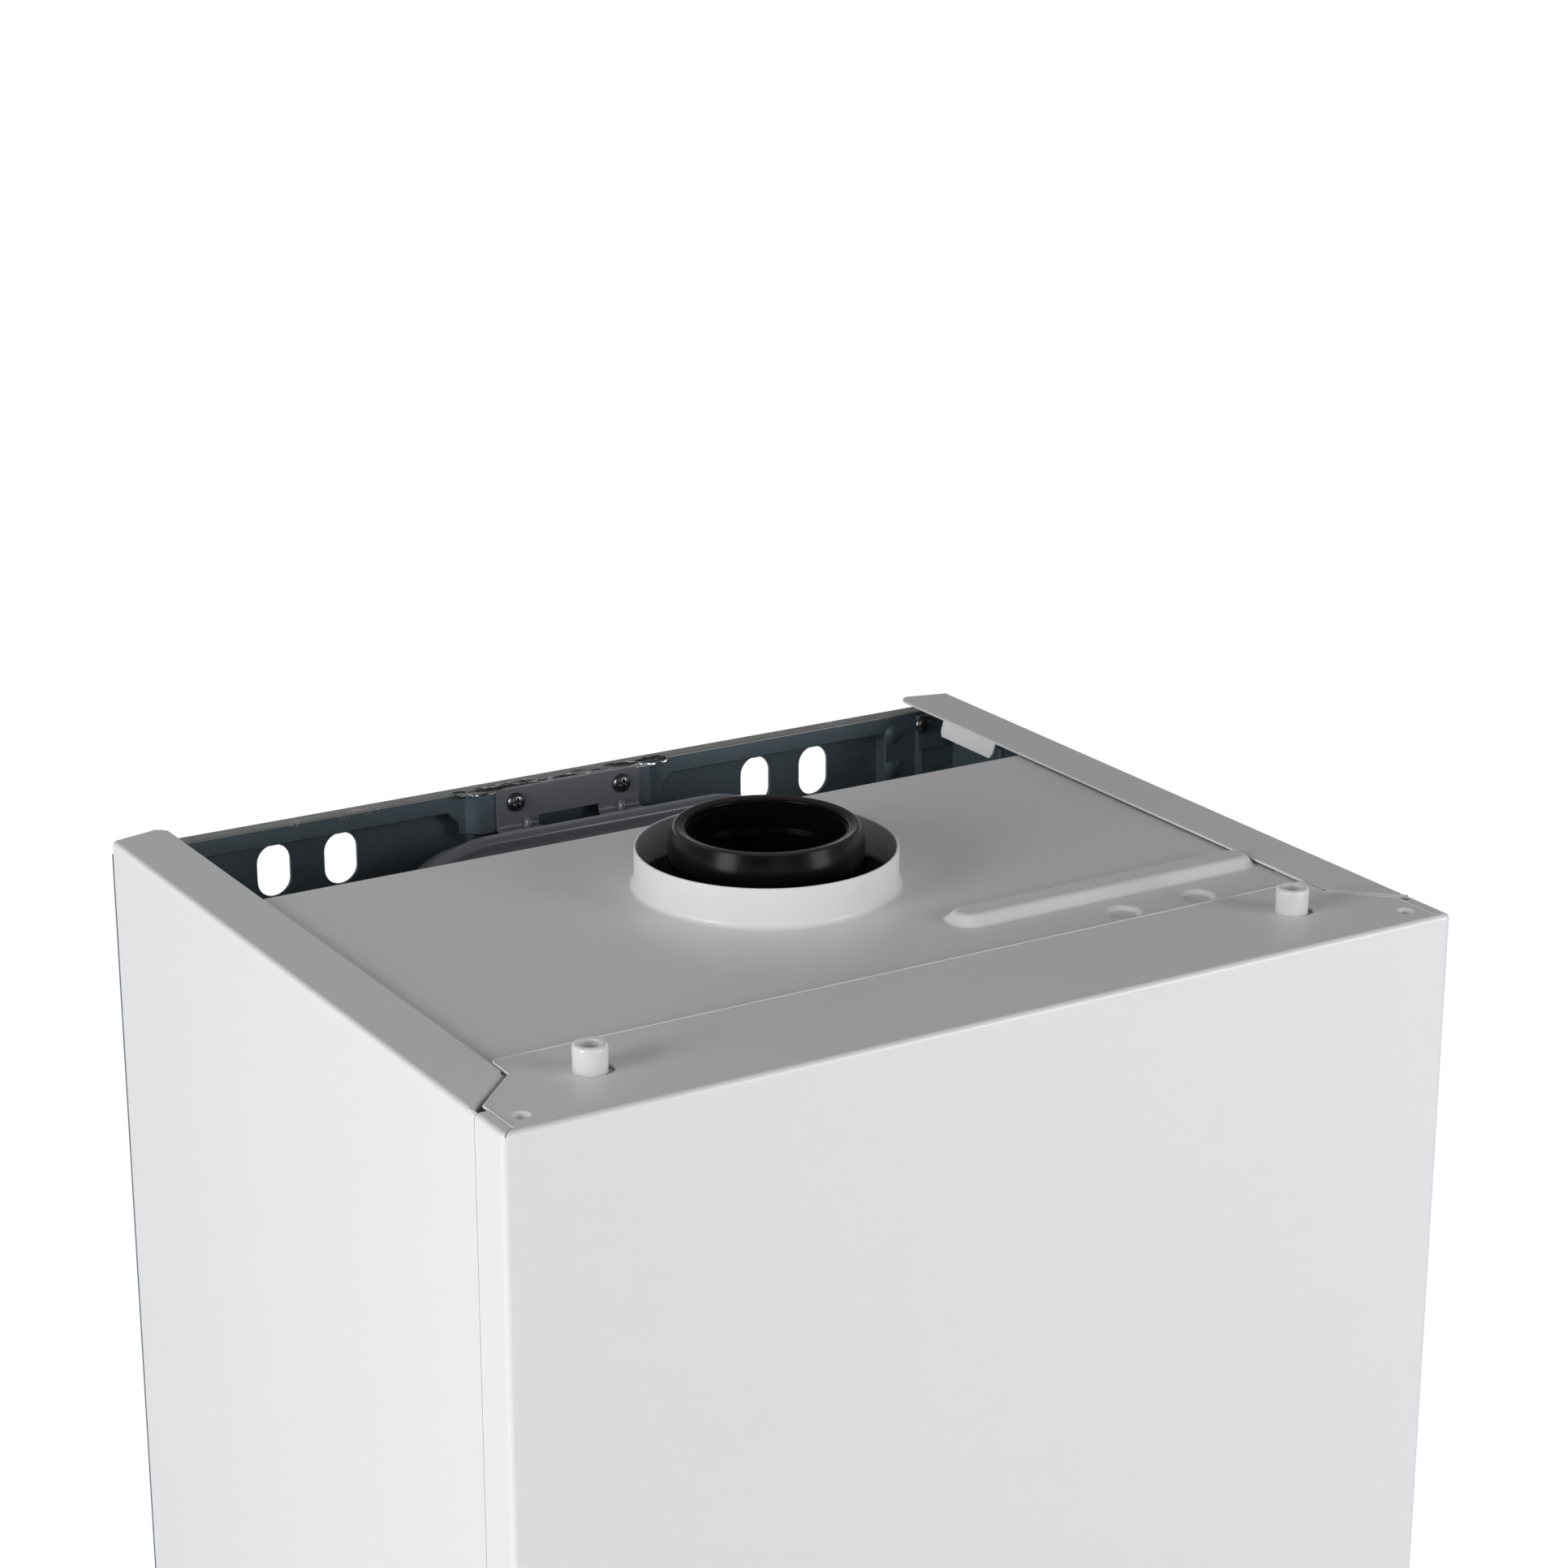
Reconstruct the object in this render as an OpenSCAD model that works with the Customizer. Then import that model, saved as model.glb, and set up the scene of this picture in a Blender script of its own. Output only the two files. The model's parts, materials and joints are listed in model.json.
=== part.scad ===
// Wall-hung gas boiler with a sealed combustion chamber and a coaxial flue.
// X runs along the wall to the right, Y runs into the wall and Z runs up.
// The origin lies in the wall plane, midway between the hanging slots.

/* [Casing] */
// Width over the side panels
body_w = 400; // [394:2:440]
// Depth from the wall to the front face
body_d = 345; // [340:5:385]
// Height from the bottom edge to the top flanges
body_h = 750; // [745:5:800]
// Height of the top flanges above the hanging slots
slot_drop = 26; // [25:1:30]
// Thickness of the casing sheet
sheet_t = 1; // [0.8:0.1:1.4]
// Outer radius of a casing bend
bend_r = 2; // [1.8:0.1:3]

/* [Front panel] */
// Depth of the side returns
return_d = 20; // [16:1:22]
// Depth of the top flange
flange_d = 58; // [52:1:62]
// Width of the lip on top of each side return
lip_w = 5; // [4:0.5:7]
// Distance of each locating pin from the middle
pin_x = 150; // [120:5:155]
// Distance of the locating pins behind the front face
pin_back = 33; // [30:1:38]
// Diameter of a locating pin
pin_d = 12; // [10:0.5:13]
// Bore of a locating pin
pin_bore = 8; // [5:0.5:9]
// Height of a locating pin above the top flange
pin_h = 10; // [6:1:14]

/* [Side panels] */
// Width of the top flanges
side_flange_w = 24; // [20:1:26]
// Width of the bottom flanges
foot_flange_w = 15; // [12:1:20]
// Depth of the tab that hangs from each top flange
tab_drop = 12; // [8:1:16]

/* [Roof and flue] */
// Distance of the flue behind the front face
flue_back = 167.5; // [165:0.5:175]
// Inner radius of the air collar
collar_r = 50.25; // [48:0.25:54]
// Height of the air collar above the roof
collar_h = 16; // [12:1:24]
// Bore radius of the flue seal
seal_bore_r = 31.3; // [31:0.1:33]
// Outer radius of the flue seal
seal_r = 37.5; // [36.5:0.5:40]
// Height of the flue seal above the roof
seal_h = 24.5; // [20:0.5:30]
// Outer radius of the fan's flue spigot
spigot_r = 30; // [28:0.5:30.5]
// Length of the pressed roof rib
rib_l = 134; // [100:2:140]
// Height of the pressed roof rib
rib_h = 3.5; // [2:0.5:5]

/* [Sealed chamber] */
// Height of the chamber below the roof
chamber_h = 439; // [430:1:450]
// Depth of the chamber
chamber_d = 225; // [222:1:230]
// Gap between the chamber and the side panels
chamber_gap = 11; // [10:0.5:14]
// Thickness of the front cover's gasket
gasket_t = 3; // [2:0.5:5]

/* [Rear frame] */
// Depth of the frame posts and the beams' centre
frame_d = 13.5; // [12:0.5:16]
// Width of a frame post
post_w = 18.7; // [16:0.1:22]
// Height of the top beam
beam_h = 74; // [66:1:80]
// Thickness of the frame steel
frame_t = 1.5; // [1.2:0.1:2]
// Distance of the inner hanging slots from the middle
slot_in_x = 100; // [95:1:102]
// Distance of the outer hanging slots from the middle
slot_out_x = 130; // [125:1:135]
// Width of a hanging slot
slot_w = 15; // [12:0.5:18]
// Height of a hanging slot
slot_h = 22.5; // [18:0.5:24]

/* [Expansion vessel] */
// Width over the rim
vessel_w = 203; // [180:1:210]
// Height over the rim
vessel_h = 492; // [470:2:496]
// Depth over both shells
vessel_d = 75; // [66:1:76]
// Corner radius of the rim
vessel_r = 50; // [44:1:56]
// Width of the bracket
bracket_w = 68; // [60:1:76]

/* [Fan] */
// Radius of the impeller
fan_r = 44; // [38:1:46]
// Width of the impeller
fan_w = 40; // [32:1:42]
// Number of impeller blades
fan_blades = 24; // [16:1:32]
// Radius of the fan motor
fan_motor_r = 33; // [28:1:36]

/* [Heat exchanger and burner] */
// Width of the fin pack
core_w = 264; // [256:2:270]
// Depth of the fin pack
core_d = 182; // [178:1:184]
// Height of the fin pack
core_h = 74; // [66:1:76]
// Number of fins
fin_n = 30; // [20:1:40]
// Radius of an exchanger tube
tube_r = 8; // [7:0.5:9]
// Number of burner blades
blade_n = 12; // [10:1:12]
// Height of a burner blade
blade_h = 45; // [38:1:48]
// Thickness of a ceramic panel
ceramic_t = 12; // [8:1:14]

/* [Hydraulics] */
// Spacing of the pipe stubs under the boiler
stub_pitch = 65; // [60:1:68]
// Distance of the pipe stubs from the wall
stub_y = 110; // [106:1:112]
// Radius of the heating and gas stubs
stub_r = 13.2; // [11:0.1:14]
// Radius of the water stubs
small_stub_r = 10.5; // [9:0.1:11]
// Length of the stubs below the tray
stub_l = 40; // [34:1:60]
// Radius of the copper risers
riser_r = 9; // [7:0.5:9.5]
// Radius of the gas pipe
gas_r = 8; // [7:0.5:9]
// Radius of the pump impeller
pump_r = 26; // [20:1:27]
// Stroke of the diverter stem
stem_stroke = 8; // [5:1:9]
// Number of plates in the water exchanger
plate_n = 14; // [10:1:16]

/* [Controls] */
// Height of the control fascia
fascia_h = 126; // [122:1:128]
// Depth of the control box
box_d = 60; // [54:1:61]
// Radius of a temperature knob
knob_r = 20; // [15:1:23]
// Distance of each knob from the middle
knob_x = 110; // [100:1:140]
// Height that a knob stands proud of its recess
knob_h = 17; // [14:1:18]
// Width of a push-button
button_w = 16; // [12:1:20]
// Travel of a push-button
button_travel = 1.2; // [0.8:0.1:1.6]
// Width of the display window
display_w = 78; // [60:1:84]

/* [Hidden] */
$fn = 64;

// Clearances
fit = 0.3;      // between pieces that move past or lie along each other
run_fit = 0.05; // radial clearance of a shaft in its bore
seam = 1;       // between the edges of neighbouring panels

// Planes of the casing
half_w = body_w / 2;
front_y = -body_d;
top_z = slot_drop;
bottom_z = top_z - body_h;
panel_z = bottom_z + fascia_h + 3;
side_front_y = front_y + return_d + seam;
flange_x = half_w - side_flange_w;
pin_y = front_y + pin_back;
pin_hole_shift = 1.2;

// Roof and flue
roof_z = top_z - 2 * sheet_t;
roof_x = half_w - chamber_gap - sheet_t;
flue_y = front_y + flue_back;
seal_top = roof_z + seal_h;
spigot_top = roof_z + 8;

// Sealed chamber
cham_t = 1;
cham_front = front_y + 27;
cham_back = front_y + 27 + chamber_d;
cham_top = roof_z - sheet_t;
cham_floor = roof_z - chamber_h;
cham_x = roof_x;

// Rear frame
post_x = half_w - sheet_t - fit;
beam_top = top_z - 5;
rim_plane = 8;
beam_x = post_x - post_w;
beam_mid_x = 42;
recess_in_x = 50;
recess_out_x = 158;
recess_top = 13;
recess_low = -34;
lug_x = beam_x + 12;
low_beam_z = bottom_z + 40;
low_beam_h = 40;

// Expansion vessel
vessel_back = 12;
vessel_rim_y = -40;
rim_t = 8;
vessel_top = top_z - 13;
vessel_mid_z = vessel_top - vessel_h / 2;
vessel_low = vessel_top - vessel_h;
vessel_pipe_y = vessel_rim_y - rim_t - 14;
bracket_z0 = 3;
bracket_z1 = 22;
bracket_foot = 5.6;

// Burner, exchanger and fan, stacked upwards from the chamber floor
case_z = cham_floor + cham_t;
case_d = core_d + 2;
manifold_d = 14;
manifold_y = cham_front + manifold_d / 2 + 2.5;
case_front = manifold_y + manifold_d / 2 + 1;
case_mid_y = case_front + case_d / 2;
case_h = 208;
case_w = core_w + 4;
rail_z = case_z + 6;
blade_pitch = 20;
blade_w = 12;
blade_d = core_d - 26;
core_z = case_z + case_h;
hood_z = core_z + core_h;
tube_z = core_z + core_h / 2;
tube_pitch = 34;
hood_h = 22;
fan_gap = 6;
scroll_r = fan_r + fan_gap + 2;
scroll_d = fan_w + 16;
fan_x = -24;
fan_z = hood_z + hood_h + scroll_r + 2;
scroll_back = flue_y + scroll_d / 2;
scroll_front = flue_y - scroll_d / 2;
riser_w = 96;
eye_r = fan_r - 14;
shaft_r = 4;
duct_x = spigot_r + 1;

// Risers between the exchanger and the hydraulics
tube_first_y = case_mid_y - 2 * tube_pitch;
tube_last_y = case_mid_y + 2 * tube_pitch;
riser_x = core_w / 2 + 23;

// Hydraulics
tray_z = bottom_z + 12;
tray_t = 1.5;
tray_setback = 66;
tray_front = front_y + tray_setback;
tray_x = half_w - sheet_t - fit;
stub_line = -stub_y;
block_lift = 22;
block_z = tray_z + block_lift;
block_h = 60;
block_d = 60;
block_front = stub_line - block_d / 2;
block_back = stub_line + block_d / 2;
pump_y = tube_last_y;
return_front = min(block_front, pump_y - 15);
return_x = stub_pitch - 18;
pump_x = riser_x - pump_r - 9;
pump_z = block_z + block_h + pump_r + 24;
volute_r = pump_r + 8;
volute_d = 34;
valve_w = 60;
valve_d = 52;
valve_h = 52;
valve_boss_h = 8;
solenoid_l = 22;
regulator_l = 14;
valve_y = stub_line - 22;
gas_turn_z = cham_floor - 26;
valve_z = gas_turn_z - 28 - valve_h;
manifold_z = rail_z + 10;
flow_drop = 120;
flow_turn_z = cham_floor - flow_drop;
stem_r = 4;
stem_z = block_z + 18;
turbine_r = 7;
gauge_r = 20;
gauge_x = 34;
gauge_y = stub_line - 92;
relief_x = 2 * stub_pitch - 12;
relief_z = block_z + 34;
relief_reach = 26;
relief_grip_l = 20;
grip_front = return_front - relief_reach - fit - relief_grip_l;
tap_x = 1.5 * stub_pitch;

// Controls
hinge_y = front_y + 10;
hinge_z = bottom_z + 6;
hinge_r = 3;
fascia_t = 3;
fascia_x = half_w - sheet_t - fit;
box_x = fascia_x - 10;
box_front = front_y + fascia_t;
box_back = box_front + box_d - fascia_t;
box_z0 = bottom_z + 3;
box_z1 = box_z0 + fascia_h - 20;
wall_t = 2;
dial_z = bottom_z + fascia_h / 2 + 4;
display_h = 40;
button_x = display_w / 2 + button_w / 2 + 14;
button_z = 16;
ear_x = box_x + 2;
ear_t = 3;
panel_white = [0.93, 0.93, 0.92];
zinc_grey = [0.34, 0.37, 0.42];
dark_grey = [0.3, 0.32, 0.35];
copper = [0.72, 0.43, 0.26];
brass = [0.78, 0.66, 0.36];
steel = [0.7, 0.71, 0.72];

// Plain shapes

module slab(x0, x1, y0, y1, z0, z1)
    translate([x0, y0, z0])
        cube([x1 - x0, y1 - y0, z1 - z0]);

module round_rect(w, h, r)
    union() {
        square([w - 2 * r, h], center = true);
        square([w, h - 2 * r], center = true);
        for (sx = [-1, 1], sy = [-1, 1])
            translate([sx * (w / 2 - r), sy * (h / 2 - r)])
                circle(r);
    }

module oblong(l, w)
    union() {
        square([l - w, w], center = true);
        for (s = [-1, 1])
            translate([s * (l - w) / 2, 0])
                circle(w / 2);
    }

// A cylinder from p along the unit vector d
module rod(p, d, l, r)
    translate(p)
        rotate([0, acos(d[2]), atan2(d[1], d[0])])
            cylinder(h = l, r = r);

module tube(p, d, l, r, bore)
    difference() {
        rod(p, d, l, r);
        rod(p - d, d, l + 2, bore);
    }

// A run of pipe through points joined by square turns
module pipe(points, r, turn_r) {
    last = len(points) - 1;
    for (i = [0 : last - 1]) {
        d = (points[i + 1] - points[i]) / norm(points[i + 1] - points[i]);
        a = i == 0 ? points[i] : points[i] + d * turn_r;
        b = i == last - 1 ? points[i + 1] : points[i + 1] - d * turn_r;
        rod(a, d, norm(b - a), r);
    }
    for (i = [1 : 1 : last - 1]) {
        u = (points[i] - points[i - 1]) / norm(points[i] - points[i - 1]);
        v = (points[i + 1] - points[i]) / norm(points[i + 1] - points[i]);
        w = cross(-v, u);
        c = points[i] - u * turn_r + v * turn_r;
        multmatrix([[-v[0], u[0], w[0], c[0]], [-v[1], u[1], w[1], c[1]],
                [-v[2], u[2], w[2], c[2]], [0, 0, 0, 1]])
            rotate_extrude(angle = 90)
                translate([turn_r, 0])
                    circle(r);
    }
}

module pan_head(p, r = 4.2, h = 2.4)
    translate(p)
        rotate([90, 0, 0])
            union() {
                cylinder(h = h * 0.55, r = r);
                translate([0, 0, h * 0.55])
                    cylinder(h = h * 0.45, r1 = r, r2 = r * 0.7);
            }

// Casing

// The front panel's rounded block, drawn in from its outer faces by inset
module front_block(inset) {
    r = bend_r - inset;
    w = body_w - 2 * inset;
    d = 2 * flange_d;
    h = top_z - panel_z - 2 * inset;
    mid_y = front_y + inset + d / 2;
    mid_z = (top_z + panel_z) / 2;
    intersection() {
        translate([0, mid_y, panel_z + inset])
            linear_extrude(h)
                round_rect(w, d, r);
        translate([-w / 2, mid_y, mid_z])
            rotate([90, 0, 90])
                linear_extrude(w)
                    round_rect(d, h, r);
        translate([0, mid_y + d / 2, mid_z])
            rotate([90, 0, 0])
                linear_extrude(d)
                    round_rect(w, h, r);
    }
}

// Plan of the front panel's top: the flange and, past a narrow gap, the lip on each return
module front_top_plan() {
    gap = 0.8;
    in_x = half_w - lip_w;
    far_x = flange_x - 1.5;
    gap_y = front_y + 3.6;
    back_y = front_y + return_d;
    flange_y = front_y + flange_d;
    shift = back_y - gap;
    for (s = [0, 1])
        mirror([s, 0])
            polygon([[-0.5 * s, front_y], [half_w, front_y], [half_w, back_y],
                [in_x, back_y], [in_x, gap_y], [in_x - gap, gap_y],
                [in_x - gap, shift + half_w - in_x + gap], [far_x, shift + half_w - far_x],
                [far_x, flange_y - 2], [far_x - 2, flange_y], [-0.5 * s, flange_y]]);
}

module front_panel() {
    cut = 2 * flange_d;
    color(panel_white)
        difference() {
            front_block(0);
            front_block(sheet_t);
            slab(-body_w, body_w, front_y + return_d, front_y + 3 * cut, panel_z - 1, top_z - sheet_t);
            translate([0, 0, top_z - sheet_t - 0.6])
                linear_extrude(sheet_t + 2)
                    difference() {
                        translate([-body_w, front_y - 1])
                            square([2 * body_w, 3 * cut]);
                        front_top_plan();
                    }
            for (s = [-1, 1])
                translate([s * pin_x + pin_hole_shift, pin_y, top_z - 5])
                    linear_extrude(10)
                        oblong(pin_d + 3, pin_d + 0.8);
        }
}

// Plan of the right side panel, seen from above
module side_plan() {
    rear_cut = 5;
    corner = 4;
    polygon([[half_w, side_front_y], [flange_x, side_front_y + side_flange_w],
        [flange_x, -corner], [flange_x + corner, 0], [half_w, -rear_cut]]);
}

// Section across a side panel: the skin with its top and bottom flanges
module side_section() {
    w = 2 * side_flange_w + 20;
    translate([half_w - w / 2, (top_z + bottom_z) / 2])
        difference() {
            round_rect(w, body_h, bend_r);
            round_rect(w - 2 * sheet_t, body_h - 2 * sheet_t, bend_r - sheet_t);
            translate([-w, -body_h])
                square([1.5 * w - side_flange_w, 2 * body_h]);
            translate([-w, -body_h])
                square([1.5 * w - foot_flange_w, body_h]);
        }
}

module right_side_panel() {
    tab_y1 = -35;
    tab_y0 = tab_y1 - 43;
    chamfer = 6;
    color(panel_white)
        union() {
            intersection() {
                rotate([90, 0, 0])
                    linear_extrude(body_d)
                        side_section();
                translate([0, 0, bottom_z - 1])
                    linear_extrude(body_h + 2)
                        side_plan();
            }
            translate([flange_x, 0, 0])
                rotate([90, 0, 90])
                    linear_extrude(sheet_t)
                        polygon([[tab_y0, top_z - sheet_t], [tab_y0, top_z - tab_drop + chamfer],
                            [tab_y0 + chamfer, top_z - tab_drop], [tab_y1 - chamfer, top_z - tab_drop],
                            [tab_y1, top_z - tab_drop + chamfer], [tab_y1, top_z - sheet_t]]);
        }
}

module left_side_panel()
    mirror([1, 0, 0])
        right_side_panel();

// Rear frame

module post(s)
    color(dark_grey)
        difference() {
            slab(min(s * post_x, s * beam_x), max(s * post_x, s * beam_x),
                -frame_d, 0, tray_z + tray_t, beam_top - 2);
            slab(min(s * (post_x - frame_t), s * (beam_x + frame_t)),
                max(s * (post_x - frame_t), s * (beam_x + frame_t)),
                -frame_d + frame_t, 1, bottom_z, top_z);
        }

module left_post()
    post(-1);

module right_post()
    post(1);

// Front outline of one pressed recess, in X and Z
module recess_outline(s)
    polygon([[s * recess_in_x, recess_top], [s * (recess_out_x - 14), recess_top],
        [s * recess_out_x, recess_top - 14], [s * recess_out_x, recess_low],
        [s * recess_in_x, recess_low]]);

module top_rear_beam() {
    low = beam_top - beam_h;
    color(zinc_grey)
        difference() {
            union() {
                slab(-beam_x + fit, beam_x - fit, -rim_plane, 0, low, beam_top);
                slab(-beam_mid_x, beam_mid_x, -frame_d, 0, bracket_z0, beam_top);
                for (s = [-1, 1])
                    slab(min(s * lug_x, s * (beam_x - 14)), max(s * lug_x, s * (beam_x - 14)),
                        -frame_d - frame_t, -frame_d, recess_top - 8, beam_top);
                for (s = [-1, 1])
                    slab(min(s * (beam_x - 14), s * (beam_x - 14 + frame_t)),
                        max(s * (beam_x - 14), s * (beam_x - 14 + frame_t)),
                        -frame_d - frame_t, 0, recess_top - 8, beam_top);
            }
            for (s = [-1, 1])
                translate([0, -frame_t, 0])
                    rotate([90, 0, 0])
                        linear_extrude(frame_d)
                            recess_outline(s);
            difference() {
                slab(-beam_x + fit + frame_t, beam_x - fit - frame_t, -rim_plane + frame_t, 1,
                    low - 1, beam_top - frame_t);
                for (s = [-1, 1])
                    slab(min(s * (recess_in_x - frame_t), s * (recess_out_x + frame_t)),
                        max(s * (recess_in_x - frame_t), s * (recess_out_x + frame_t)),
                        -frame_d, 2, recess_low - frame_t, recess_top + frame_t);
            }
            slab(-beam_mid_x + frame_t, beam_mid_x - frame_t, -frame_d + frame_t, 1,
                bracket_z0 - 1, beam_top - frame_t);
            for (x = [-slot_out_x, -slot_in_x, slot_in_x, slot_out_x])
                translate([x, 1, 0])
                    rotate([90, 0, 0])
                        linear_extrude(frame_d)
                            rotate(90)
                                oblong(slot_h, slot_w);
        }
}

module lower_rear_beam()
    color(zinc_grey)
        difference() {
            slab(-beam_x + fit, beam_x - fit, -frame_d, 0, low_beam_z, low_beam_z + low_beam_h);
            slab(-beam_x, beam_x, -frame_d + frame_t, 1, low_beam_z + frame_t,
                low_beam_z + low_beam_h - frame_t);
        }

module bottom_tray() {
    color(zinc_grey)
        difference() {
            union() {
                slab(-tray_x, tray_x, tray_front, 0, tray_z, tray_z + tray_t);
                for (s = [-1, 1])
                    slab(min(s * tray_x, s * (tray_x - tray_t)), max(s * tray_x, s * (tray_x - tray_t)),
                        tray_front, -frame_d - fit, tray_z, tray_z + 16);
                slab(-beam_x + fit, beam_x - fit, -frame_d - tray_t, -frame_d, tray_z,
                    low_beam_z + low_beam_h / 2);
                for (s = [-1, 1])
                    slab(min(s * ear_x, s * (ear_x + ear_t)), max(s * ear_x, s * (ear_x + ear_t)),
                        hinge_y, tray_front + 12, bottom_z + 1, tray_z + 8);
                for (s = [-1, 1])
                    rod([s > 0 ? ear_x : -ear_x - ear_t, hinge_y, hinge_z], [1, 0, 0], ear_t, 5);
            }
            for (s = [-1, 1])
                rod([s * (ear_x + ear_t / 2) - ear_t, hinge_y, hinge_z], [1, 0, 0], 2 * ear_t,
                    hinge_r + run_fit);
            for (i = [-2 : 2])
                translate([i * stub_pitch, stub_line, tray_z - 1])
                    cylinder(h = tray_t + 2, r = (abs(i) == 1 ? small_stub_r : stub_r) + fit);
            translate([gauge_x, gauge_y, tray_z - 1])
                cylinder(h = tray_t + 2, r = gauge_r + fit);
            translate([tap_x, stub_line, tray_z - 1])
                cylinder(h = tray_t + 2, r = 6 + fit);
            translate([-3 * stub_pitch / 2, tray_front + 36, tray_z - 1])
                cylinder(h = tray_t + 2, r = 8);
        }
}

module locating_pins() {
    rim = 1.2;
    color([0.9, 0.9, 0.88])
        for (s = [-1, 1])
            translate([s * pin_x, pin_y, roof_z])
                difference() {
                    union() {
                        cylinder(h = sheet_t, r = pin_d / 2 + 3);
                        cylinder(h = 2 * sheet_t + pin_h - rim, r = pin_d / 2);
                        translate([0, 0, 2 * sheet_t + pin_h - rim])
                            cylinder(h = rim, r1 = pin_d / 2, r2 = pin_d / 2 - rim);
                    }
                    translate([0, 0, 2])
                        cylinder(h = pin_h + 3, r = pin_bore / 2);
                }
}

// Screws of the bracket, the beam's end lugs and the chamber's front cover
module pan_head_screws() {
    cover_y = cham_front - gasket_t - 1;
    color([0.25, 0.25, 0.27])
        union() {
            for (s = [-1, 1])
                pan_head([s * 25.3, -frame_d - frame_t, top_z - 10.5]);
            for (s = [-1, 1])
                pan_head([s * (beam_x - 0.5), -frame_d - frame_t, top_z - 9]);
            for (s = [-1, 1], k = [0 : 2])
                pan_head([s * (cham_x - 6), cover_y, cham_top - 20 - k * (chamber_h - 50) / 2]);
        }
}

// Sealed chamber

module chamber_roof() {
    plate_front = cham_front;
    rib_x = flange_x - 70;
    rib_y = front_y + 93;
    fillet = 3.5;
    color([0.88, 0.89, 0.89])
        difference() {
            union() {
                slab(-roof_x, roof_x, plate_front, cham_back, roof_z - sheet_t, roof_z);
                translate([0, flue_y, roof_z])
                    rotate_extrude()
                        difference() {
                            union() {
                                translate([collar_r - 1, -sheet_t / 2])
                                    square([1 + sheet_t, collar_h + sheet_t / 2]);
                                translate([collar_r - 1, -sheet_t / 2])
                                    square([1 + sheet_t + fillet, sheet_t / 2 + fillet]);
                            }
                            translate([collar_r + sheet_t + fillet, fillet])
                                circle(fillet);
                            translate([collar_r + sheet_t + fillet, 0])
                                square([fillet, 2 * fillet]);
                        }
                hull() {
                    for (s = [-1, 1])
                        translate([rib_x + s * (rib_l / 2 - 10), rib_y, roof_z - 0.2])
                            cylinder(h = 0.1, r = 10, $fn = 32);
                    for (s = [-1, 1])
                        translate([rib_x + s * (rib_l / 2 - 12), rib_y, roof_z + rib_h - 0.1])
                            cylinder(h = 0.1, r = 5.5, $fn = 32);
                }
            }
            translate([0, flue_y, roof_z - 5])
                cylinder(h = collar_h + 10, r = collar_r);
            for (x = [rib_x - 7, rib_x + 28])
                translate([x, rib_y - 23, roof_z + 26.8])
                    sphere(27.5);
        }
}

// Round hole through the chamber floor for a pipe
module floor_hole(x, y, r)
    translate([x, y, cham_floor - 5])
        cylinder(h = 10, r = r);

module chamber_shell() {
    lip = 12;
    wing_top = -60;
    wing_low = cham_floor + 20;
    color(steel)
        difference() {
            union() {
                slab(-cham_x, cham_x, cham_front, cham_back, cham_floor, cham_top);
                for (s = [-1, 1])
                    slab(min(s * cham_x, s * (cham_x - cham_t)), max(s * cham_x, s * (cham_x - cham_t)),
                        cham_front, -frame_d - frame_t, wing_low, wing_top);
                for (s = [-1, 1])
                    slab(min(s * cham_x, s * (beam_x - 4)), max(s * cham_x, s * (beam_x - 4)),
                        -frame_d - frame_t, -frame_d, wing_low, wing_top);
            }
            slab(-cham_x + cham_t, cham_x - cham_t, cham_front + cham_t, cham_back - cham_t,
                cham_floor + cham_t, cham_top + 1);
            slab(-cham_x + lip, cham_x - lip, cham_front - 1, cham_front + 5,
                cham_floor + lip, cham_top - lip);
            floor_hole(-riser_x, tube_first_y, riser_r + fit);
            floor_hole(riser_x, tube_last_y, riser_r + fit);
            floor_hole(0, manifold_y, gas_r + fit);
        }
}

module chamber_gasket() {
    inset = 1;
    color([0.2, 0.2, 0.21])
        union() {
            difference() {
                slab(-cham_x + inset, cham_x - inset, cham_front - gasket_t, cham_front,
                    cham_floor + inset, cham_top - inset);
                slab(-cham_x + 11, cham_x - 11, cham_front - gasket_t - 1, cham_front + 1,
                    cham_floor + 11, cham_top - 11);
            }
            for (s = [-1, 1])
                slab(min(s * (flange_x + 1), s * roof_x), max(s * (flange_x + 1), s * roof_x),
                    cham_front + 50, cham_back - 2, roof_z, roof_z + sheet_t);
        }
}

module chamber_front_cover() {
    back = cham_front - gasket_t;
    color(steel)
        union() {
            slab(-cham_x, cham_x, back - 1, back, cham_floor, cham_top);
            slab(-cham_x + 40, cham_x - 40, back - 5, back - 1, cham_floor + 60, cham_top - 60);
        }
}

module flue_seal() {
    stop = spigot_top;
    color([0.06, 0.06, 0.065])
        translate([0, flue_y, 0])
            rotate_extrude()
                union() {
                    translate([spigot_r + fit, roof_z - 6])
                        square([seal_r - spigot_r - fit, stop - roof_z + 6]);
                    translate([spigot_r - 2.5, stop])
                        square([seal_r - spigot_r + 2.5, 2]);
                    translate([seal_bore_r, stop + 2])
                        square([seal_r - seal_bore_r, seal_top - 1 - stop - 2]);
                    translate([seal_bore_r + 1, seal_top - 1])
                        square([seal_r - seal_bore_r - 2, 1]);
                }
}

// Fan and smoke hood

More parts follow.
